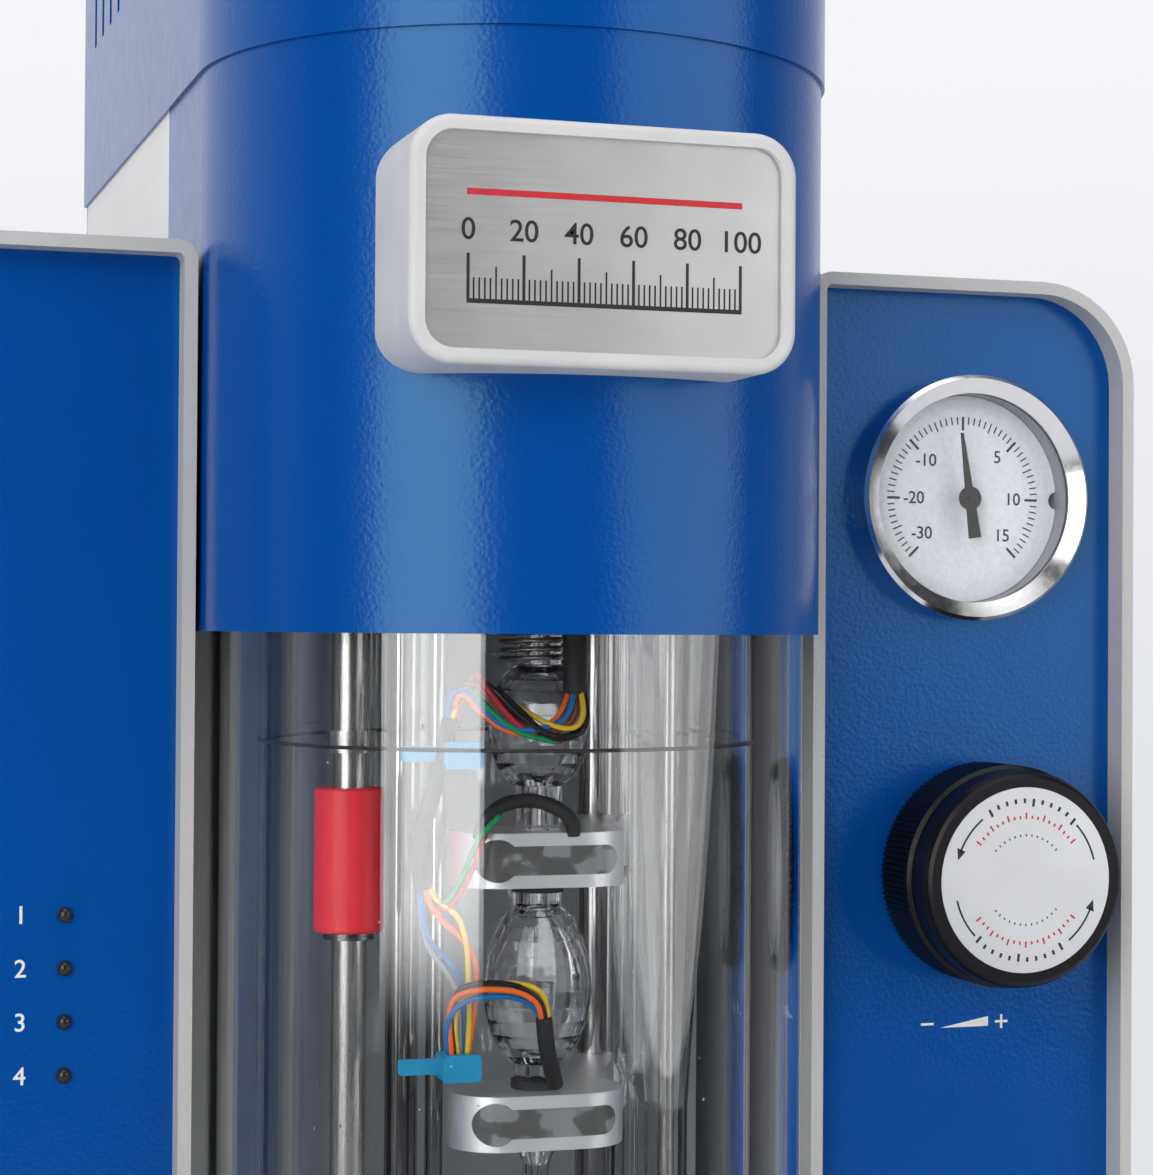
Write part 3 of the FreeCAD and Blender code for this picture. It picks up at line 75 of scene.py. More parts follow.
class Shader:
    """A material under construction, with short calls for its nodes."""

    def __init__(self, name):
        self.material = bpy.data.materials.new(name)
        self.material.use_nodes = True
        self.tree = self.material.node_tree
        self.bsdf = self.tree.nodes["Principled BSDF"]
        self.output = self.tree.nodes["Material Output"]
        self.place = self.tree.nodes.new("ShaderNodeTexCoord").outputs["Object"]

    def set(self, **values):
        for name, value in values.items():
            socket = self.bsdf.inputs[name.replace("_", " ")]
            socket.default_value = (*value, 1.0) if name.endswith("Color") else value
        return self

    def link(self, output, socket):
        self.tree.links.new(output, socket)

    def stretched(self, x, y, z):
        """The piece's own coordinates, scaled along each axis."""
        node = self.tree.nodes.new("ShaderNodeMapping")
        node.inputs["Scale"].default_value = (x, y, z)
        self.link(self.place, node.inputs["Vector"])
        return node.outputs["Vector"]

    def noise(self, size_mm, detail=3.0, roughness=0.5, vector=None):
        node = self.tree.nodes.new("ShaderNodeTexNoise")
        node.inputs["Scale"].default_value = 1.0 / (size_mm * MM)
        node.inputs["Detail"].default_value = detail
        node.inputs["Roughness"].default_value = roughness
        self.link(vector or self.place, node.inputs["Vector"])
        return node.outputs["Fac"]

    def cells(self, size_mm, feature="F1", vector=None):
        node = self.tree.nodes.new("ShaderNodeTexVoronoi")
        node.feature = feature
        node.inputs["Scale"].default_value = 1.0 / (size_mm * MM)
        self.link(vector or self.place, node.inputs["Vector"])
        return node.outputs["Distance"]

    def ramp(self, value, stops):
        """stops is a list of (position, grey or colour)."""
        node = self.tree.nodes.new("ShaderNodeValToRGB")
        ramp = node.color_ramp
        while len(ramp.elements) < len(stops):
            ramp.elements.new(0.5)
        for element, (position, colour) in zip(ramp.elements, stops):
            element.position = position
            colour = (colour,) * 3 if isinstance(colour, (int, float)) else colour
            element.color = (*colour, 1.0)
        self.link(value, node.inputs["Fac"])
        return node.outputs["Color"]

    def span(self, value, lowest, highest):
        node = self.tree.nodes.new("ShaderNodeMapRange")
        node.inputs["To Min"].default_value = lowest
        node.inputs["To Max"].default_value = highest
        self.link(value, node.inputs["Value"])
        return node.outputs["Result"]

    def maths(self, operation, first, second):
        node = self.tree.nodes.new("ShaderNodeMath")
        node.operation = operation
        for socket, value in zip(node.inputs, (first, second)):
            if isinstance(value, (int, float)):
                socket.default_value = value
            else:
                self.link(value, socket)
        return node.outputs["Value"]

    def bump(self, height, depth_mm, strength=1.0):
        node = self.tree.nodes.new("ShaderNodeBump")
        node.inputs["Strength"].default_value = strength
        node.inputs["Distance"].default_value = depth_mm * MM
        self.link(height, node.inputs["Height"])
        self.link(node.outputs["Normal"], self.bsdf.inputs["Normal"])
        return self

    def colour(self, output):
        self.link(output, self.bsdf.inputs["Base Color"])
        return self

    def roughness(self, output):
        self.link(output, self.bsdf.inputs["Roughness"])
        return self


def mixed(colour, amount):
    """colour made lighter for amount above 1, darker below."""
    return tuple(min(1.0, c * amount) for c in colour)


def powder_coat(name, colour, grain_mm, depth_mm, roughness, gloss=0.5, tone=0.03):
    """Sprayed paint: a leathery grain of shallow pits, with small changes of tone."""
    s = Shader(name).set(Specular_IOR_Level=gloss)
    pits = s.cells(grain_mm, "SMOOTH_F1")
    fine = s.noise(grain_mm * 0.6, 4.0)
    s.bump(s.maths("ADD", pits, s.maths("MULTIPLY", fine, 0.6)), depth_mm)
    s.colour(s.ramp(s.noise(40.0, 4.0), [(0.3, mixed(colour, 1 - tone)), (0.7, mixed(colour, 1 + tone))]))
    s.roughness(s.span(s.noise(6.0), roughness - 0.04, roughness + 0.05))
    return s.material


# Painted shade: the black painted on the flanks' inner walls in place of the shadow in the narrow gap
# beside the bath
GAP_SHADE_BLACK = (0.006, 0.007, 0.012, 1)


def paint_gap_shade(material, reach, start, blend):
    """Painted shade beside the bath: black painted in place of the shadow, closer than reach to the
    middle plane, and behind start.
    """
    tree = material.node_tree
    shader = tree.nodes["Principled BSDF"]
    base = shader.inputs["Base Color"].links[0].from_socket
    parts = tree.nodes.new("ShaderNodeSeparateXYZ")
    tree.links.new(tree.nodes["Texture Coordinate"].outputs["Object"], parts.inputs["Vector"])
    size = tree.nodes.new("ShaderNodeMath")
    size.operation = "ABSOLUTE"
    tree.links.new(parts.outputs["X"], size.inputs[0])
    near = tree.nodes.new("ShaderNodeMath")
    near.operation = "LESS_THAN"
    near.inputs[1].default_value = reach
    tree.links.new(size.outputs["Value"], near.inputs[0])
    behind = tree.nodes.new("ShaderNodeMapRange")
    behind.inputs["From Min"].default_value = start
    behind.inputs["From Max"].default_value = start + blend
    tree.links.new(parts.outputs["Y"], behind.inputs["Value"])
    both = tree.nodes.new("ShaderNodeMath")
    both.operation = "MULTIPLY"
    tree.links.new(near.outputs["Value"], both.inputs[0])
    tree.links.new(behind.outputs["Result"], both.inputs[1])
    mix = tree.nodes.new("ShaderNodeMix")
    mix.data_type = "RGBA"
    tree.links.new(both.outputs["Value"], mix.inputs["Factor"])
    tree.links.new(base, mix.inputs["A"])
    mix.inputs["B"].default_value = GAP_SHADE_BLACK
    tree.links.new(mix.outputs["Result"], shader.inputs["Base Color"])
    return material


def brushed(name, colour, roughness, along, size_mm=0.35, depth_mm=0.004):
    """Metal with fine lines along one axis."""
    s = Shader(name).set(Metallic=1.0)
    scale = [1.0, 1.0, 1.0]
    scale["xyz".index(along)] = 0.02
    lines = s.noise(size_mm, 2.0, 0.6, s.stretched(*scale))
    s.bump(lines, depth_mm)
    s.roughness(s.span(lines, roughness - 0.08, roughness + 0.1))
    s.colour(s.ramp(s.noise(15.0, 3.0), [(0.3, mixed(colour, 0.94)), (0.7, mixed(colour, 1.04))]))
    return s.material


def plastic(name, colour, roughness, texture_mm=0.5, depth_mm=0.01, tone=0.05, gloss=0.35):
    s = Shader(name).set(Specular_IOR_Level=gloss)
    grain = s.noise(texture_mm, 3.0)
    s.bump(grain, depth_mm)
    s.roughness(s.span(s.noise(4.0), roughness - 0.05, roughness + 0.05))
    s.colour(s.ramp(s.noise(12.0, 3.0), [(0.3, mixed(colour, 1 - tone)), (0.7, mixed(colour, 1 + tone))]))
    return s.material


def resin(name, dark, pale):
    """Poured resin, clouded in patches where it set unevenly."""
    s = Shader(name).set(Specular_IOR_Level=0.4)
    clouds = s.noise(7.0, 2.0, 0.4)
    s.bump(clouds, 0.12)
    s.roughness(s.span(clouds, 0.2, 0.34))
    s.colour(s.ramp(clouds, [(0.44, dark), (0.5, mixed(dark, 1.25)),
                             (0.53, pale), (0.7, mixed(pale, 1.15))]))
    return s.material


def clear(name, colour, ior, waviness_mm=0.0):
    """Glass that lets light through to what it holds: shadow rays pass straight."""
    s = Shader(name).set(Base_Color=colour, Transmission_Weight=1.0, Roughness=0.0, IOR=ior)
    s.bump(s.noise(60.0, 2.0, 0.4, s.stretched(1.0, 1.0, 0.08)), waviness_mm)
    straight = s.tree.nodes.new("ShaderNodeBsdfTransparent")
    straight.inputs["Color"].default_value = (*mixed(colour, 0.93), 1.0)
    path = s.tree.nodes.new("ShaderNodeLightPath")
    mix = s.tree.nodes.new("ShaderNodeMixShader")
    s.link(path.outputs["Is Shadow Ray"], mix.inputs["Fac"])
    s.link(s.bsdf.outputs["BSDF"], mix.inputs[1])
    s.link(straight.outputs["BSDF"], mix.inputs[2])
    s.link(mix.outputs["Shader"], s.output.inputs["Surface"])
    return s.material


def printed(name, colour, roughness=0.45):
    s = Shader(name)
    s.roughness(s.span(s.noise(2.0), roughness - 0.05, roughness + 0.05))
    s.colour(s.ramp(s.noise(1.2, 3.0), [(0.3, mixed(colour, 0.9)), (0.7, mixed(colour, 1.05))]))
    return s.material


# Materials

BLUE = (0.0004, 0.066, 0.315)
GREY = (0.50, 0.50, 0.49)

BLUE_SHEEN = (0.5, 0.95, 1.0, 1.0)
blue_coat = powder_coat("blue_coat", BLUE, 0.95, 0.043, 0.21, 0.42, 0.02)
blue_coat.node_tree.nodes["Principled BSDF"].inputs["Specular Tint"].default_value = BLUE_SHEEN
grey_coat = powder_coat("grey_coat", GREY, 0.7, 0.05, 0.5)
# Painted shade: the flanks' inner walls beside the bath are painted black where the narrow gap lies in
# shadow
GAP_REACH, SHADE_START, SHADE_BLEND = 75.6 * MM, 5.0 * MM, 2.0 * MM
flank_coat_painted_shade = paint_gap_shade(powder_coat("flank_coat_painted_shade", GREY, 0.7, 0.05, 0.5),
                       GAP_REACH, SHADE_START, SHADE_BLEND)
off_white_coat = powder_coat("off_white_coat", (0.84, 0.84, 0.84), 0.7, 0.05, 0.5)
plate_frame_plastic = plastic("plate_frame_plastic", (0.62, 0.62, 0.62), 0.5, 0.6, 0.02)
black_plastic = plastic("black_plastic", (0.004, 0.004, 0.006), 0.34, 0.5, 0.012, 0.05, 0.22)
black_gloss = plastic("black_gloss", (0.012, 0.012, 0.013), 0.22, 0.8, 0.004)
black_rubber = plastic("black_rubber", (0.018, 0.018, 0.018), 0.7, 0.4, 0.02)
black_enamel = plastic("black_enamel", (0.02, 0.02, 0.021), 0.35, 0.5, 0.01)
case_enamel = plastic("case_enamel", (0.24, 0.25, 0.27), 0.35, 0.5, 0.01)
red_plastic = plastic("red_plastic", (0.80, 0.028, 0.042), 0.30, 1.2, 0.01)
WIRE_COLOURS = {
    "black": (0.006, 0.006, 0.007),
    "red": (0.42, 0.012, 0.022),
    "orange": (0.80, 0.13, 0.012),
    "yellow": (0.72, 0.46, 0.02),
    "green": (0.0, 0.24, 0.075),
    "blue": (0.0, 0.14, 0.42),
    "brown": (0.22, 0.06, 0.03),
    "grey": (0.28, 0.29, 0.30),
}
wire_coat = {name: plastic("wire_" + name, colour, 0.34, 1.5, 0.004)
             for name, colour in WIRE_COLOURS.items()}
sleeve_fabric = plastic("sleeve_fabric", (0.012, 0.012, 0.013), 0.55, 0.5, 0.03)
nylon_blue = plastic("nylon_blue", (0.01, 0.26, 0.48), 0.35, 0.8, 0.01)
green_board = plastic("green_board", (0.01, 0.12, 0.05), 0.4, 0.8, 0.02)
potting_resin = resin("potting_resin", (0.085, 0.083, 0.082), (0.20, 0.21, 0.215))
dial_white = printed("dial_white", (0.71, 0.72, 0.78))
ink_black = printed("ink_black", (0.015, 0.015, 0.016))
ink_red = printed("ink_red", (0.55, 0.02, 0.03))
ink_white = printed("ink_white", (0.78, 0.80, 0.82))
satin_plate = brushed("satin_plate", (0.70, 0.70, 0.70), 0.38, "x", 0.25, 0.002)
label_foil = brushed("label_foil", (0.72, 0.73, 0.75), 0.42, "x", 0.2, 0.002)
aluminium_bar = brushed("aluminium_bar", (0.86, 0.86, 0.87), 0.42, "x", 0.3, 0.006)
aluminium_plate = brushed("aluminium_plate", (0.70, 0.71, 0.72), 0.32, "x", 0.5, 0.004)
rod_steel = brushed("rod_steel", (0.52, 0.50, 0.48), 0.27, "z", 0.5, 0.002)
polished_steel = brushed("polished_steel", (0.42, 0.41, 0.41), 0.13, "z", 0.5, 0.001)
spring_steel = brushed("spring_steel", (0.20, 0.19, 0.19), 0.24, "x", 0.5, 0.001)
sheet_steel = brushed("sheet_steel", (0.55, 0.55, 0.56), 0.35, "z", 0.6, 0.004)
chrome = brushed("chrome", (0.84, 0.84, 0.85), 0.16, "y", 2.0, 0.0005)
brass = brushed("brass", (0.72, 0.52, 0.24), 0.28, "y", 0.4, 0.004)
liner_paint = powder_coat("liner_paint", (0.40, 0.41, 0.43), 0.5, 0.01, 0.38, 0.4)
lens_dark = plastic("lens_dark", (0.02, 0.02, 0.022), 0.12, 1.0, 0.002)
guard_acrylic = clear("guard_acrylic", (0.985, 0.99, 0.995), 1.49, 0.003)
jar_glass = clear("jar_glass", (0.98, 0.99, 0.99), 1.47, 0.003)
tube_glass = clear("tube_glass", (0.99, 0.99, 0.995), 1.47, 0.0015)
window_glass = clear("window_glass", (0.99, 0.99, 0.99), 1.2)
water = clear("water", (0.99, 0.99, 0.99), 1.33)

NODE_MATERIALS = {
    grey_coat: ["base_chassis", "base_floor", "rear_panel"],
    flank_coat_painted_shade: ["left_flank_shell", "right_flank_shell"],
    off_white_coat: ["tower_shell"],
    blue_coat: ["hood", "top_cover", "left_front_panel", "right_front_panel"],
    plate_frame_plastic: ["nameplate_frame"],
    black_plastic: ["power_inlet", "fan_frame", "fan_rotor", "regulator_knob"],
    black_gloss: ["switch_rocker", "vial_caps"],
    black_rubber: ["rubber_feet", "seal_rings"],
    sleeve_fabric: ["cable_sleeves"],
    black_enamel: ["drive_motors", "gauge_pointer"],
    case_enamel: ["gauge_case"],
    red_plastic: ["level_float"],
    nylon_blue: ["cable_ties"],
    green_board: ["circuit_boards"],
    potting_resin: ["detector_potting"],
    dial_white: ["gauge_dial"],
    satin_plate: ["nameplate"],
    label_foil: ["knob_label"],
    aluminium_bar: ["detector_clamps"],
    aluminium_plate: ["bath_base_plate", "bath_top_plate", "carousel_disc", "carousel_hub",
                      "lift_platform"],
    rod_steel: ["float_stem", "stirrer", "lift_rails", "lift_screw"],
    polished_steel: ["support_column", "heater_tube", "probe_tube"],
    spring_steel: ["bath_springs"],
    sheet_steel: ["bay_wall", "power_supply"],
    chrome: ["gauge_bezel"],
    brass: ["rear_fittings", "solenoid_valves", "regulator_body"],
    liner_paint: ["chamber_liner"],
    lens_dark: ["status_leds"],
    guard_acrylic: ["guard_tube"],
    jar_glass: ["bath_jar"],
    tube_glass: ["viscometer_tube", "side_arm_tube", "draft_tube", "sample_vials"],
    window_glass: ["gauge_window"],
}


def dress(node, material):
    slots = NODES[node].data.materials
    if len(slots):
        for i in range(len(slots)):
            slots[i] = material
    else:
        slots.append(material)


for material, names in NODE_MATERIALS.items():
    for name in names:
        dress(name, material)

# Mesh helpers


def add_piece(name, verts, faces, material, smooth=True):
    """A piece from points in metres; it stays with the instrument unless it is made to ride elsewhere."""
    mesh = bpy.data.meshes.new(name)
    mesh.from_pydata([tuple(v) for v in verts], [], faces)
    if material is not None:
        mesh.materials.append(material)
    if smooth:
        mesh.shade_smooth()
    piece = bpy.data.objects.new(name, mesh)
    bpy.context.collection.objects.link(piece)
    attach(piece, "instrument")
    return piece


def curve_through(points, step):
    """Places along a smooth curve through the given points."""
    points = [Vector(p) for p in points]
    ends = [points[0] * 2 - points[1]] + points + [points[-1] * 2 - points[-2]]
    path = []
    for a, b, c, d in zip(ends, ends[1:], ends[2:], ends[3:]):
        count = max(2, round((c - b).length / step))
        for i in range(count):
            t = i / count
            path.append(0.5 * (2 * b + (c - a) * t + (2 * a - 5 * b + 4 * c - d) * t ** 2
                               + (3 * b - a - 3 * c + d) * t ** 3))
    return path + [points[-1]]


def tube_along(path, radius, sides, verts, faces, flatten=1.0):
    """Adds a closed tube along a path; radius is one value or a function of the share of the way."""
    start = len(verts)
    side = Vector((0, 0, 1)).cross(path[1] - path[0])
    side = side.normalized() if side.length > 1e-9 else Vector((1, 0, 0))
    count = len(path)
    for i, place in enumerate(path):
        ahead = (path[min(i + 1, count - 1)] - path[max(i - 1, 0)]).normalized()
        side = (side - ahead * side.dot(ahead)).normalized()
        other = ahead.cross(side)
        r = radius(i / (count - 1)) if callable(radius) else radius
        for k in range(sides):
            a = 2 * math.pi * k / sides
            verts.append(place + side * (r * math.cos(a)) + other * (r * flatten * math.sin(a)))
    for i in range(count - 1):
        for k in range(sides):
            a, b = start + i * sides + k, start + i * sides + (k + 1) % sides
            faces.append((a, b, b + sides, a + sides))
    faces.append(tuple(range(start + sides - 1, start - 1, -1)))
    faces.append(tuple(range(start + (count - 1) * sides, start + count * sides)))


# Wires in the bath

WIRE_RADIUS, WIRE_SIDES, WIRE_STEP = 0.62, 10, 1.2
SLEEVE_SIDES, SLEEVE_STEP = 20, 0.6
# Routes from the tube's axis in millimetres: to the right, to the back and down from the hood
UPPER_WIRES = {
    "orange": [(2.5, -13.9, 12.4), (0.6, -15.4, 16.4), (-1.6, -16.2, 18.8), (-4.4, -15.8, 20.5),
               (-7.1, -15.2, 21.8), (-10.1, -14.6, 21.5), (-13.2, -13.6, 20.1), (-15.7, -12.8, 18.1),
               (-18, -12, 15.8), (-19.8, -11, 13.5), (-21.3, -10.2, 14.1), (-21.9, -9.6, 17.3),
               (-22.2, -9.5, 20.5)],
    "blue": [(3.4, -14.7, 12.4), (1.9, -16.4, 16.6), (-0.4, -17.2, 19), (-2.9, -17.0, 20.1),
             (-6.6, -16.2, 20.9), (-11.8, -14.8, 20.1), (-15.9, -12.9, 16.9), (-19.4, -11.2, 12.7),
             (-21.9, -10.2, 12.9), (-23.3, -9.8, 15.7), (-22.9, -9.4, 20.0)],
    "brown": [(4.3, -13.5, 12.4), (3.2, -16.0, 17.1), (1.3, -17.0, 19.6), (-1.1, -16.6, 21.0),
              (-5.6, -15.4, 20.6), (-10.4, -13.9, 18.6), (-14.1, -12.6, 14.9), (-17.6, -11.2, 11.2),
              (-20.4, -10.0, 12.2), (-21.6, -9.0, 15.5), (-22.0, -9.0, 20.0)],
    "grey": [(5.2, -12.5, 12.4), (4.2, -15.0, 17.1), (2.3, -16.4, 20.2), (-0.7, -16.0, 22.0),
             (-4.4, -14.9, 22.1), (-8.7, -13.9, 20.5), (-13.0, -12.6, 17.0), (-17.0, -10.6, 12.6),
             (-20.0, -9.2, 12.9), (-21.2, -8.6, 16.5), (-22.4, -8.6, 20.0)],
    "yellow": [(4.8, -14.9, 12.4), (4.7, -17.2, 17.1), (3.1, -18.4, 19.8), (0.5, -18.8, 20.5),
               (-2, -17.6, 19.9), (-4.3, -15.6, 18.8), (-6.3, -14.0, 17.4), (-9.4, -12.8, 15.4),
               (-12.5, -11.4, 13.2), (-15.2, -10.2, 12.0), (-18.2, -9.2, 12.4), (-20.7, -9.0, 15.4),
               (-21.7, -9.8, 17), (-22.5, -9.6, 20.2)],
    "black": [(5.8, -13.8, 12.4), (5.8, -16.6, 18.0), (3.6, -18.6, 21.4), (0.5, -18.8, 22.1),
              (-3.6, -17.8, 21.5), (-8.3, -16.2, 18.3), (-11.5, -14.9, 15.1), (-14.5, -13, 11.8),
              (-17.0, -11.4, 10.4), (-19.8, -9.8, 12.6), (-21.2, -9.1, 16), (-22.0, -9.4, 20.0)],
    "black_2": [(4.0, -12.2, 12.4), (5.0, -15.2, 18.8), (2.8, -17.2, 22.2), (-1.9, -16.8, 22.6),
                (-5.6, -16.0, 19.9), (-8.9, -15, 16.5), (-11.9, -13.8, 13.6), (-14.2, -12.6, 11.9),
                (-16.8, -10.9, 11.2), (-19.4, -9.2, 13.6), (-21.4, -8.6, 17), (-22.4, -9.0, 20.0)],
    "black_3": [(2.8, -12.4, 12.4), (4.0, -14.2, 18.8), (1.8, -16.2, 22.3), (-2.6, -15.8, 22.4),
                (-6.8, -14.6, 20.2), (-10.4, -13.4, 16.8), (-13.2, -12.0, 13.6), (-15.6, -10.6, 12.4),
                (-18.2, -9.4, 13.2), (-20.4, -8.4, 16.2), (-22.4, -8.6, 20.0)],
    "red": [(4.9, -11.3, 12.4), (4.4, -13.4, 19.4), (1.0, -15.4, 23.0), (-2.4, -15.6, 23.2),
            (-6.3, -15.4, 21.8), (-9, -15.6, 20), (-11.5, -15.2, 17.6), (-13.9, -14.2, 14.4),
            (-15.7, -13.2, 11.8), (-16.7, -12.2, 9.7), (-17.7, -11.2, 9.4), (-18.4, -10.2, 11.5),
            (-19.6, -9.2, 15.0), (-21.4, -8.9, 20.0)],
    "green": [(3.5, -11.3, 12.4), (2.8, -13.4, 19.0), (-0.4, -15.6, 23.2), (-3.4, -16.4, 22.9),
              (-6, -16.2, 22.4), (-8.3, -15.8, 21.7), (-10.9, -15.2, 20.3), (-13.4, -14.2, 18.2),
              (-15.8, -13.2, 15.7), (-17.7, -12, 13.5), (-19.2, -10.8, 12.0), (-20.8, -9.6, 13.2),
              (-22.0, -8.8, 17.0), (-22.8, -8.9, 20.0)],
}
SHEATH = [(-22.4, -9.4, 18.6), (-23.3, -9.3, 22.2), (-24.2, -9.2, 26.5), (-26.2, -9.6, 34.1),
          (-28.3, -10.2, 40.5), (-29.6, -10.8, 46.9), (-29.4, -11, 51.2), (-28.5, -11, 55.2)]
ARCH = [(-16.9, -12.4, 44.6), (-16.3, -12.8, 41.9), (-14.3, -12.6, 39.2), (-11.3, -11.0, 37.4),
        (-7.3, -9.0, 36.7), (-3.3, -8.6, 36.8), (0, -9.2, 37.7), (3.0, -10.6, 39.6),
        (4.4, -11.2, 42.2), (4.6, -11.2, 44.4)]
MIDDLE_WIRES = {
    "green": [(-13.2, -15.2, 39.4), (-16.3, -16.0, 42.3), (-18.2, -15.6, 45), (-19.6, -14.8, 48.7),
              (-20.9, -13.8, 52.6), (-23, -12.6, 57.2), (-25.3, -11.8, 58.2), (-27.4, -11.2, 56.4),
              (-28.4, -11, 53.8)],
    "red": [(-14.6, -14.9, 40.4), (-16.4, -15.4, 43.4), (-17.5, -15.2, 46.4), (-18.6, -14.4, 50.4),
            (-21, -13.2, 55.8), (-23, -12.2, 58.9), (-24.9, -11.8, 59.7), (-27.1, -11.2, 58.0),
            (-28.0, -11, 54.2)],
    "yellow": [(-28, -11.6, 54.2), (-25.6, -11.8, 57.8), (-22.7, -12.2, 59.9), (-21, -12.6, 62.2),
               (-19.7, -12.8, 66.7), (-19.2, -12.6, 71.2), (-18.9, -12.0, 75.8), (-18.3, -10.6, 82.9),
               (-18.4, -9.6, 91.6)],
    "orange": [(-28.6, -11.4, 54.2), (-27.2, -11.6, 58.6), (-24.7, -12.0, 62.1), (-21.1, -12.2, 65.3),
               (-18.6, -12.2, 68.4), (-17.2, -11.8, 72.1), (-17, -11.2, 75.6), (-17.2, -10.2, 82.3),
               (-18.0, -9.2, 91.6)],
    "blue": [(-29.2, -11, 54.2), (-29.0, -11, 59.4), (-27.3, -11.2, 66.1), (-23.8, -11.4, 70.2),
             (-20.8, -11.2, 73.9), (-19.8, -10.6, 77.4), (-19, -9.4, 83.6), (-19.4, -8.9, 91.6)],
    "grey": [(-28.9, -10.4, 54.2), (-28.6, -10.6, 61.1), (-27.5, -10.7, 67.4), (-24.4, -10.8, 71.8),
             (-21.6, -10.4, 76.1), (-20.4, -9.8, 81.7), (-20.0, -9.2, 91.6)],
}
LOWER_WIRES = {
    "black": [(-21.4, -10, 91.6), (-22.4, -11.6, 82.6), (-21.8, -13.6, 77.4), (-19.9, -14.8, 75.8),
              (-16, -16.2, 75.1), (-10.6, -17.0, 75.6), (-7, -17.2, 77.3), (-4.3, -17.2, 79.9),
              (-3.3, -16.9, 83.6)],
    "orange": [(-22.0, -10.4, 91.6), (-23.1, -12, 82.8), (-22.3, -13.8, 78.6), (-20, -15.2, 77.1),
               (-16.1, -16.6, 76.5), (-10.7, -17.6, 76.9), (-7.1, -17.8, 78.3), (-4.9, -17.4, 80.5),
               (-3.9, -16.8, 83.8)],
    "yellow": [(-20.6, -9.8, 91.6), (-21.6, -11.2, 84.3), (-21.0, -12.8, 79.8), (-18.2, -14.2, 77.2),
               (-12.9, -15.4, 75.5), (-9.5, -16, 75.6), (-5.9, -16.4, 76.4), (-3.4, -16.4, 78.7),
               (-2.3, -16.3, 83.6)],
    "blue": [(-22.6, -9.8, 91.6), (-23.4, -11.2, 86.4), (-22.8, -13.0, 82), (-20.1, -14.6, 79.2),
             (-16, -15.8, 78.2), (-12.4, -16.4, 78.1), (-9.9, -16.6, 78.5), (-6.5, -16.6, 79.9),
             (-3.4, -16.0, 83.8)],
}


def bundle(name, routes):
    """Separate insulated wires, each a tube of its own, as one piece with a material for each colour."""
    verts, faces, counts = [], [], []
    for route in routes.values():
        path = curve_through([from_tube(*p) for p in route], WIRE_STEP * MM)
        before = len(faces)
        tube_along(path, WIRE_RADIUS * MM, WIRE_SIDES, verts, faces)
        counts.append(len(faces) - before)
    piece = add_piece(name, verts, faces, None)
    at = 0
    for index, (colour, count) in enumerate(zip(routes, counts)):
        piece.data.materials.append(wire_coat[colour.split("_")[0]])
        for polygon in piece.data.polygons[at:at + count]:
            polygon.material_index = index
        at += count
    return piece


def sheath(name, route, radius_mm):
    """A woven sleeve with a slight swelling along its length, its mouth rolled in at both ends."""
    verts, faces = [], []
    path = curve_through([from_tube(*p) for p in route], SLEEVE_STEP * MM)

    def radius(share):
        mouth = min(1.0, 0.86 + 12 * min(share, 1 - share))
        swell = 1 + 0.035 * math.sin(37 * share) + 0.02 * math.sin(83 * share)
        return radius_mm * MM * mouth * swell

    tube_along(path, radius, SLEEVE_SIDES, verts, faces)
    add_piece(name, verts, faces, sleeve_fabric)


upper_bundle = bundle("wires_upper", UPPER_WIRES)
bundle("wires_middle", MIDDLE_WIRES)
bundle("wires_lower", LOWER_WIRES)
sheath("sheath_long", SHEATH, radius_mm=1.9)
sheath("sheath_arch", ARCH, radius_mm=1.6)
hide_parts("detector_wires")

# Level ring on the jar

JAR_RADIUS = (high("bath_jar").x - low("bath_jar").x) / 2
LEVEL_DROP = 24.6
BEADS, BEAD_SEED = 170, 11
BEAD_RADII = (0.16, 0.2, 0.24, 0.34)
BEAD_RISE = 0.45


def level_ring():
    """The fill mark: a thin black band baked on the jar."""
    verts, faces = [], []
    sides, r = 160, JAR_RADIUS + 0.02 * MM
    profile = [(0, -0.42), (0.22, -0.34), (0.22, 0.34), (0, 0.42)]
    z = HOOD_BOTTOM - LEVEL_DROP * MM
    for i in range(sides):
        a = 2 * math.pi * i / sides
        for out, up in profile:
            reach = r + out * MM
            verts.append((reach * math.cos(a), reach * math.sin(a), z + up * MM))
    count = len(profile)
    for i in range(sides):
        j = (i + 1) % sides
        for k in range(count):
            n = (k + 1) % count
            faces.append((i * count + k, j * count + k, j * count + n, i * count + n))
    add_piece("level_ring", verts, faces, ink_black)


level_ring()


def droplets():
    """Condensation on the jar: flat beads of water, more of them low down and towards the sides."""
    dice = random.Random(BEAD_SEED)
    verts, faces = [], []
    rings, sides = 3, 8
    for _ in range(BEADS):
        angle = math.radians(dice.uniform(-75, 95))
        drop = 8 + 190 * dice.random() ** 0.8
        size = dice.choice(BEAD_RADII) * MM
        stretch = dice.uniform(1.0, 1.7)
        out = Vector((math.sin(angle), -math.cos(angle), 0))
        across = Vector((math.cos(angle), math.sin(angle), 0))
        seat = out * JAR_RADIUS + Vector((0, 0, HOOD_BOTTOM - drop * MM))
        start = len(verts)
        for ring in range(rings):
            tilt = math.pi / 2 * ring / rings
            for k in range(sides):
                a = 2 * math.pi * k / sides
                verts.append(seat + out * (BEAD_RISE * size * math.sin(tilt))
                             + across * (size * math.cos(tilt) * math.cos(a))
                             + Vector((0, 0, size * stretch * math.cos(tilt) * math.sin(a))))
        verts.append(seat + out * (BEAD_RISE * size))
        for ring in range(rings - 1):
            for k in range(sides):
                a, b = start + ring * sides + k, start + ring * sides + (k + 1) % sides
                faces.append((a, b, b + sides, a + sides))
        last = start + (rings - 1) * sides
        for k in range(sides):
            faces.append((last + k, last + (k + 1) % sides, start + rings * sides))
        faces.append(tuple(range(start + sides - 1, start - 1, -1)))
    add_piece("droplets", verts, faces, water)


droplets()

# Printed marks

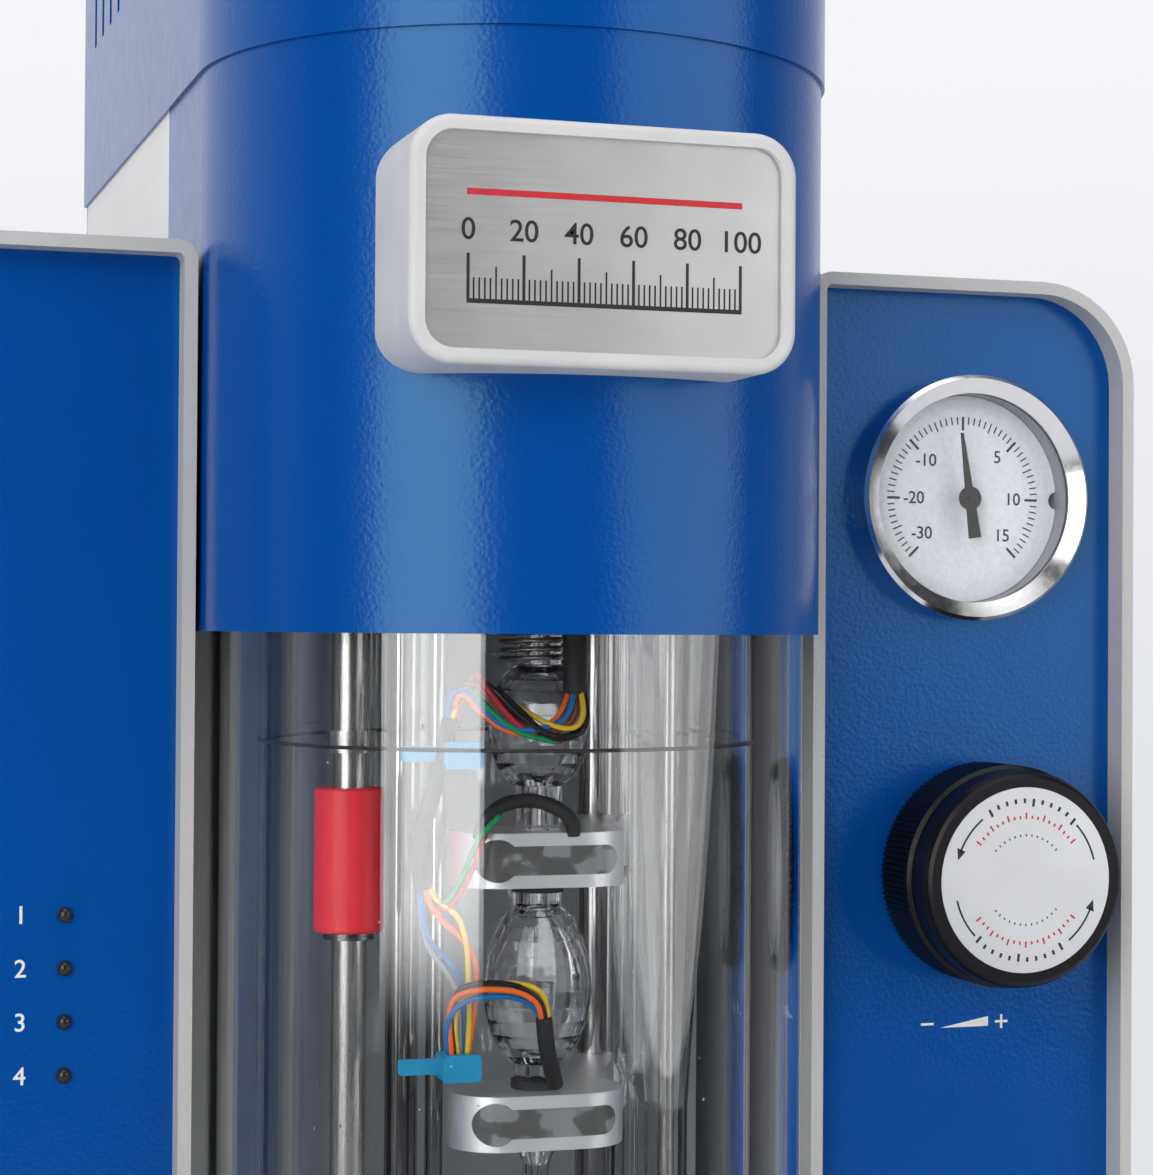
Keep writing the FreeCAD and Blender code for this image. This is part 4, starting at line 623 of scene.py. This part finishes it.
INK_DEPTH, INK_PROUD = 0.06 * MM, 0.05 * MM
FIGURE_DEPTH, FIGURE_PROUD, FIGURE_WEIGHT = 0.03 * MM, 0.03 * MM, 0.04 * MM


def flat_shape(name, outlines, depth, y_front, material, body="instrument"):
    """Shapes drawn in x and z, in metres, as thin plates whose face is at y_front."""
    mesh = bmesh.new()
    for outline in outlines:
        front = [mesh.verts.new((x, y_front, z)) for x, z in outline]
        back = [mesh.verts.new((x, y_front + depth, z)) for x, z in outline]
        mesh.faces.new(front)
        mesh.faces.new(back[::-1])
        for i in range(len(outline)):
            j = (i + 1) % len(outline)
            mesh.faces.new((front[j], front[i], back[i], back[j]))
    bmesh.ops.recalc_face_normals(mesh, faces=mesh.faces)
    data = bpy.data.meshes.new(name)
    mesh.to_mesh(data)
    mesh.free()
    data.materials.append(material)
    piece = bpy.data.objects.new(name, data)
    bpy.context.collection.objects.link(piece)
    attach(piece, body)
    return piece


def block_shape(x0, x1, z0, z1):
    return [(x0, z0), (x1, z0), (x1, z1), (x0, z1)]


def bar_shape(x, z, angle, inner, outer, width):
    """A short radial bar: angle is clockwise from the top."""
    a = math.radians(angle)
    out = Vector((math.sin(a), math.cos(a)))
    side = Vector((out.y, -out.x)) * (width / 2)
    centre = Vector((x, z))
    return [tuple(centre + out * inner - side), tuple(centre + out * inner + side),
            tuple(centre + out * outer + side), tuple(centre + out * outer - side)]


def arc_shape(x, z, radius, width, start, end, steps=20):
    """A thin curved stroke from start to end, clockwise from the top in degrees."""
    outer, inner = [], []
    for i in range(steps + 1):
        a = math.radians(start + (end - start) * i / steps)
        outer.append((x + (radius + width / 2) * math.sin(a), z + (radius + width / 2) * math.cos(a)))
        inner.append((x + (radius - width / 2) * math.sin(a), z + (radius - width / 2) * math.cos(a)))
    return outer + inner[::-1]


def numerals(name, text, x, z, y_front, size, material, body="instrument", align="CENTER", turn=0.0):
    """Plain raised figures that face the front."""
    curve = bpy.data.curves.new(name, "FONT")
    curve.body = text
    curve.size = size
    curve.align_x = align
    curve.align_y = "CENTER"
    curve.extrude = FIGURE_DEPTH
    curve.offset = FIGURE_WEIGHT
    curve.resolution_u = 6
    curve.materials.append(material)
    piece = bpy.data.objects.new(name, curve)
    piece.location = (x, y_front, z)
    piece.rotation_euler = (math.radians(90), math.radians(turn), 0)
    bpy.context.collection.objects.link(piece)
    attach(piece, body)
    return piece


DIAL = middle("gauge_dial")
DIAL_FACE = low("gauge_dial").y
TICK_RADIUS = 20.3 * MM


def dial_marks():
    """Graduations over three quarters of a turn, a numeral at each eighth."""
    ticks = []
    lowest, steps = -135.0, 60
    for i in range(steps + 1):
        angle = lowest + 270.0 * i / steps
        major = i % 10 == 0
        half = i % 5 == 0
        inner = TICK_RADIUS - (3.4 if major else 2.6 if half else 1.9) * MM
        ticks.append(bar_shape(DIAL.x, DIAL.z, angle, inner, TICK_RADIUS, (0.62 if major else 0.34) * MM))
    flat_shape("dial_ticks", ticks, INK_DEPTH, DIAL_FACE - INK_PROUD, ink_black)
    for text, angle, reach in (("-30", -128, 14.0), ("-20", -90, 13.2), ("-10", -47, 13.6),
                               ("5", 42, 14.0), ("10", 90, 13.6), ("15", 130, 14.0)):
        a = math.radians(angle)
        numerals("dial_numeral_" + text.replace("-", "minus_"), text, DIAL.x + reach * MM * math.sin(a),
                 DIAL.z + reach * MM * math.cos(a), DIAL_FACE - FIGURE_PROUD, 4.3 * MM, ink_black)


dial_marks()

LABEL = middle("knob_label")
LABEL_FACE = low("knob_label").y
LABEL_RADIUS = (high("knob_label").x - low("knob_label").x) / 2


def arrow_head(x, z, radius, angle, length, half, forward):
    """A solid arrowhead on an arc, its point along the turn."""
    a = math.radians(angle)
    out = Vector((math.sin(a), math.cos(a)))
    along = Vector((math.cos(a), -math.sin(a))) * forward
    centre = Vector((x, z)) + out * radius
    tip = centre + along * length - out * (length * length / (2 * radius))
    return [tuple(centre + out * half), tuple(tip), tuple(centre - out * half)]


def label_marks():
    """Turning arrows and two graduated arcs, the same on both halves of the label."""
    black, red = [], []
    r = LABEL_RADIUS
    for half_turn in (0, 180):
        black.append(arc_shape(LABEL.x, LABEL.z, 0.84 * r, 0.45 * MM, -68 + half_turn, -38 + half_turn))
        black.append(arc_shape(LABEL.x, LABEL.z, 0.84 * r, 0.45 * MM, 46 + half_turn, 76 + half_turn))
        black.append(arrow_head(LABEL.x, LABEL.z, 0.84 * r, -66 + half_turn, 2.6 * MM, 1.15 * MM, -1))
        for i in range(11):
            angle = half_turn - 30 + 7.2 * i
            tall = 1.9 if i % 5 == 0 else 1.1
            black.append(bar_shape(LABEL.x, LABEL.z, angle, 0.88 * r - tall * MM, 0.88 * r, 0.62 * MM))
        for i in range(19):
            angle = half_turn - 54 + 6.0 * i
            tall = 1.5 if i % 3 == 0 else 0.8
            red.append(bar_shape(LABEL.x, LABEL.z, angle, 0.66 * r, 0.66 * r + tall * MM, 0.42 * MM))
        for i in range(13):
            angle = half_turn - 48 + 8.0 * i
            black.append(bar_shape(LABEL.x, LABEL.z, angle, 0.47 * r, 0.47 * r + 0.55 * MM, 0.3 * MM))
    y = LABEL_FACE - INK_PROUD
    flat_shape("label_black", black, INK_DEPTH, y, ink_black, "knob")
    flat_shape("label_red", red, INK_DEPTH, y, ink_red, "knob")


label_marks()

LEFT_PANEL_FACE = low("left_front_panel").y
RIGHT_PANEL_FACE = low("right_front_panel").y


def lamp_numerals():
    lamp_x = middle("status_leds").x
    top, bottom = high("status_leds").z, low("status_leds").z
    radius, lamps = 1.75 * MM, 4
    for i in range(lamps):
        z = top - radius - i * (top - bottom - 2 * radius) / (lamps - 1)
        numerals("lamp_numeral_%d" % (i + 1), str(i + 1), lamp_x - 8.2 * MM, z,
                 LEFT_PANEL_FACE - 0.04 * MM, 5.6 * MM, ink_white, align="RIGHT")


lamp_numerals()


SIGN_REACH = 10.0 * MM


def adjust_marks():
    """A wedge between a minus and a plus under the knob: which way lets more air in."""
    x, z = middle("regulator_knob").x - 3.6 * MM, low("regulator_knob").z - 10.5 * MM
    long, thick = 1.7 * MM, 0.3 * MM
    shapes = []
    for side in (-1, 1):
        centre = x + side * SIGN_REACH
        shapes.append(block_shape(centre - long, centre + long, z - thick, z + thick))
    centre = x + SIGN_REACH
    shapes.append(block_shape(centre - thick, centre + thick, z - long, z - thick))
    shapes.append(block_shape(centre - thick, centre + thick, z + thick, z + long))
    left, right, bottom = x - 6.4 * MM, x + 6.4 * MM, z - 1.0 * MM
    shapes.append([(left, bottom), (right, bottom), (right, z + 1.4 * MM)])
    flat_shape("adjust_marks", shapes, INK_DEPTH, RIGHT_PANEL_FACE - INK_PROUD, ink_white)


adjust_marks()

PLATE_LOW, PLATE_HIGH = low("nameplate"), high("nameplate")


def plate_marks():
    """A plain graduated scale on the plate, with numerals and a red line above it."""
    face = PLATE_LOW.y
    left, right = PLATE_LOW.x + 9.0 * MM, PLATE_HIGH.x - 9.0 * MM
    bottom = PLATE_LOW.z + 10.0 * MM
    black, red = [], []
    steps = 50
    for i in range(steps + 1):
        x = left + (right - left) * i / steps
        tall = 9.0 if i % 10 == 0 else 6.4 if i % 5 == 0 else 4.2
        wide = 0.62 if i % 10 == 0 else 0.36
        black.append(block_shape(x - wide / 2 * MM, x + wide / 2 * MM, bottom, bottom + tall * MM))
    first, last = left - 0.3 * MM, right + 0.3 * MM
    black.append(block_shape(first, last, bottom - 0.9 * MM, bottom))
    red.append(block_shape(first, last, bottom + 20.6 * MM, bottom + 21.9 * MM))
    ink_face = face - INK_PROUD
    flat_shape("plate_scale", black, INK_DEPTH, ink_face, ink_black)
    flat_shape("plate_line", red, INK_DEPTH, ink_face, ink_red)
    for i in range(6):
        x = left + (right - left) * i / 5
        numerals("plate_numeral_%d" % i, str(i * 20), x, bottom + 13.6 * MM,
                 face - FIGURE_PROUD, 6.2 * MM, ink_black)


plate_marks()

# Stage, light and camera


def fade_foot(data, share):
    """Lets the lamp fade over the given share of its height, at the lower end."""
    data.use_nodes = True
    tree = data.node_tree
    emission = tree.nodes["Emission"]
    place = tree.nodes.new("ShaderNodeNewGeometry")
    parts = tree.nodes.new("ShaderNodeSeparateXYZ")
    tree.links.new(place.outputs["Parametric"], parts.inputs["Vector"])
    ramp = tree.nodes.new("ShaderNodeMapRange")
    ramp.interpolation_type = "SMOOTHSTEP"
    ramp.inputs["From Max"].default_value = share
    tree.links.new(parts.outputs["Y"], ramp.inputs["Value"])
    tree.links.new(ramp.outputs["Result"], emission.inputs["Strength"])


def area_light(name, centre, target, width, height, power, shape="RECTANGLE", soft_foot=0.0):
    data = bpy.data.lights.new(name, "AREA")
    data.shape = shape
    data.size, data.size_y = width, height
    data.energy = power
    if soft_foot:
        fade_foot(data, soft_foot)
    lamp = bpy.data.objects.new(name, data)
    lamp.location = centre
    lamp.rotation_euler = (Vector(target) - Vector(centre)).to_track_quat("-Z", "Y").to_euler()
    bpy.context.collection.objects.link(lamp)
    return lamp


def around(azimuth_deg, distance, height):
    """A place round the bath: azimuth 0 is in front, positive to the right."""
    a = math.radians(azimuth_deg)
    return Vector((distance * math.sin(a), -distance * math.cos(a), height))


def facing(azimuth_deg, distance, height):
    """The place and its level target, so that the lamp stands upright."""
    return around(azimuth_deg, distance, height), Vector((0, 0, height))


LAMP_DISTANCE = 1.5
area_light("key_left", *facing(-44, LAMP_DISTANCE, 1.165), 1.0, 1.73, 23, soft_foot=0.07)
area_light("fill_right", *facing(47, LAMP_DISTANCE, 1.02), 1.48, 1.48, 10.6, "ELLIPSE")
area_light("top_soft", (0.1, -0.2, 1.9), Vector((0, 0, 0.62)), 1.4, 1.2, 10)

BACKDROP, BACKDROP_HIGH = (0.76, 0.78, 0.82), (0.91, 0.91, 0.95)
ROOM_FRONT, ROOM_BACK = (0.026, 0.028, 0.033), (1.0, 1.0, 1.04)


def studio():
    """A plain bright backdrop for the camera, and a toned room for what the object mirrors."""
    world = bpy.data.worlds.new("studio")
    bpy.context.scene.world = world
    world.use_nodes = True
    sky = world.node_tree
    sky_out = sky.nodes["World Output"]
    room = sky.nodes["Background"]
    seen = sky.nodes.new("ShaderNodeBackground")
    seen.inputs["Strength"].default_value = 1.0
    direction = sky.nodes.new("ShaderNodeTexCoord").outputs["Generated"]
    parts = sky.nodes.new("ShaderNodeSeparateXYZ")
    sky.links.new(direction, parts.inputs["Vector"])
    # The room is dim on the camera's side and bright towards the paper behind the instrument
    depth = sky.nodes.new("ShaderNodeMapRange")
    depth.inputs["From Min"].default_value = -0.05
    depth.inputs["From Max"].default_value = 0.75
    sky.links.new(parts.outputs["Y"], depth.inputs["Value"])
    tone = sky.nodes.new("ShaderNodeValToRGB")
    tone.color_ramp.elements[0].color = (*ROOM_FRONT, 1)
    tone.color_ramp.elements[1].color = (*ROOM_BACK, 1)
    sky.links.new(depth.outputs["Result"], tone.inputs["Fac"])
    sky.links.new(tone.outputs["Color"], room.inputs["Color"])
    # The backdrop is a little darker towards the floor
    fade = sky.nodes.new("ShaderNodeValToRGB")
    fade.color_ramp.elements[0].position = 0.46
    fade.color_ramp.elements[0].color = (*BACKDROP, 1)
    fade.color_ramp.elements[1].position = 0.60
    fade.color_ramp.elements[1].color = (*BACKDROP_HIGH, 1)
    lift = sky.nodes.new("ShaderNodeMapRange")
    lift.inputs["From Min"].default_value = -1.0
    sky.links.new(parts.outputs["Z"], lift.inputs["Value"])
    sky.links.new(lift.outputs["Result"], fade.inputs["Fac"])
    sky.links.new(fade.outputs["Color"], seen.inputs["Color"])
    # Metal and glass show the same backdrop behind the instrument, and the dim room in front of it
    mirrored = sky.nodes.new("ShaderNodeBackground")
    mirrored_tone = sky.nodes.new("ShaderNodeMix")
    mirrored_tone.data_type = "RGBA"
    sky.links.new(depth.outputs["Result"], mirrored_tone.inputs["Factor"])
    mirrored_tone.inputs["A"].default_value = (*ROOM_FRONT, 1)
    sky.links.new(fade.outputs["Color"], mirrored_tone.inputs["B"])
    sky.links.new(mirrored_tone.outputs["Result"], mirrored.inputs["Color"])
    path = sky.nodes.new("ShaderNodeLightPath")
    turned = sky.nodes.new("ShaderNodeMath")
    turned.operation = "MAXIMUM"
    sky.links.new(path.outputs["Is Glossy Ray"], turned.inputs[0])
    sky.links.new(path.outputs["Is Transmission Ray"], turned.inputs[1])
    indirect = sky.nodes.new("ShaderNodeMixShader")
    sky.links.new(turned.outputs["Value"], indirect.inputs["Fac"])
    sky.links.new(room.outputs["Background"], indirect.inputs[1])
    sky.links.new(mirrored.outputs["Background"], indirect.inputs[2])
    choose = sky.nodes.new("ShaderNodeMixShader")
    sky.links.new(path.outputs["Is Camera Ray"], choose.inputs["Fac"])
    sky.links.new(indirect.outputs["Shader"], choose.inputs[1])
    sky.links.new(seen.outputs["Background"], choose.inputs[2])
    sky.links.new(choose.outputs["Shader"], sky_out.inputs["Surface"])


studio()

FLOOR_RADIUS, SHADOW_RADIUS = 2.0, 0.55


def floor_paper():
    """Paper that takes the object's shadow near it and fades to the backdrop's own tone further out."""
    s = Shader("floor_paper").set(Base_Color=(0.80, 0.80, 0.81), Roughness=0.7)
    length = s.tree.nodes.new("ShaderNodeVectorMath")
    length.operation = "LENGTH"
    s.link(s.place, length.inputs[0])
    share = s.tree.nodes.new("ShaderNodeMapRange")
    share.interpolation_type = "SMOOTHSTEP"
    share.inputs["From Min"].default_value = SHADOW_RADIUS
    share.inputs["From Max"].default_value = FLOOR_RADIUS * 0.8
    share.inputs["To Min"].default_value = 0.35
    s.link(length.outputs["Value"], share.inputs["Value"])
    glow = s.tree.nodes.new("ShaderNodeEmission")
    glow.inputs["Color"].default_value = (*BACKDROP, 1)
    path = s.tree.nodes.new("ShaderNodeLightPath")
    mirrored = s.maths("MAXIMUM", path.outputs["Is Glossy Ray"], path.outputs["Is Transmission Ray"])
    looked_at = s.maths("MAXIMUM", path.outputs["Is Camera Ray"], mirrored)
    mix = s.tree.nodes.new("ShaderNodeMixShader")
    s.link(s.maths("MULTIPLY", looked_at, share.outputs["Result"]), mix.inputs["Fac"])
    s.link(s.bsdf.outputs["BSDF"], mix.inputs[1])
    s.link(glow.outputs["Emission"], mix.inputs[2])
    s.link(mix.outputs["Shader"], s.output.inputs["Surface"])
    return s.material


def floor():
    """A round sheet, so that its edge is equally far on every side."""
    sides = 96
    mesh = bpy.data.meshes.new("floor")
    turns = [2 * math.pi * i / sides for i in range(sides)]
    rim = [(FLOOR_RADIUS * math.cos(a), FLOOR_RADIUS * math.sin(a), 0) for a in turns]
    mesh.from_pydata(rim, [], [tuple(range(sides))])
    plane = bpy.data.objects.new("floor", mesh)
    bpy.context.collection.objects.link(plane)
    mesh.materials.append(floor_paper())


floor()

# The photograph's camera, found from the object's own sizes
CAMERA_PLACE = Vector((-170.02, -590.0, 622.6)) * MM
CAMERA_YAW, CAMERA_PITCH, CAMERA_ROLL = 17.570, 0.739, 0.368
CAMERA_LENS, SENSOR_WIDTH = 81.195, 36.0


def camera():
    yaw, pitch, roll = (math.radians(a) for a in (CAMERA_YAW, CAMERA_PITCH, CAMERA_ROLL))
    forward = Vector((math.sin(yaw) * math.cos(pitch), math.cos(yaw) * math.cos(pitch), math.sin(pitch)))
    level = Vector((math.cos(yaw), -math.sin(yaw), 0))
    above = level.cross(forward)
    right = level * math.cos(roll) + above * math.sin(roll)
    up = above * math.cos(roll) - level * math.sin(roll)
    data = bpy.data.cameras.new("camera")
    data.lens = CAMERA_LENS
    data.sensor_width = SENSOR_WIDTH
    data.clip_start = 0.05
    made = bpy.data.objects.new("camera", data)
    turn = Matrix((right, up, -forward)).transposed().to_4x4()
    made.matrix_world = Matrix.Translation(CAMERA_PLACE) @ turn
    bpy.context.collection.objects.link(made)
    bpy.context.scene.camera = made


camera()
scene = bpy.context.scene
scene.view_settings.view_transform = "Standard"
GLASS_BOUNCES = 32
scene.cycles.max_bounces = GLASS_BOUNCES
scene.cycles.transmission_bounces = GLASS_BOUNCES
scene.cycles.transparent_max_bounces = GLASS_BOUNCES
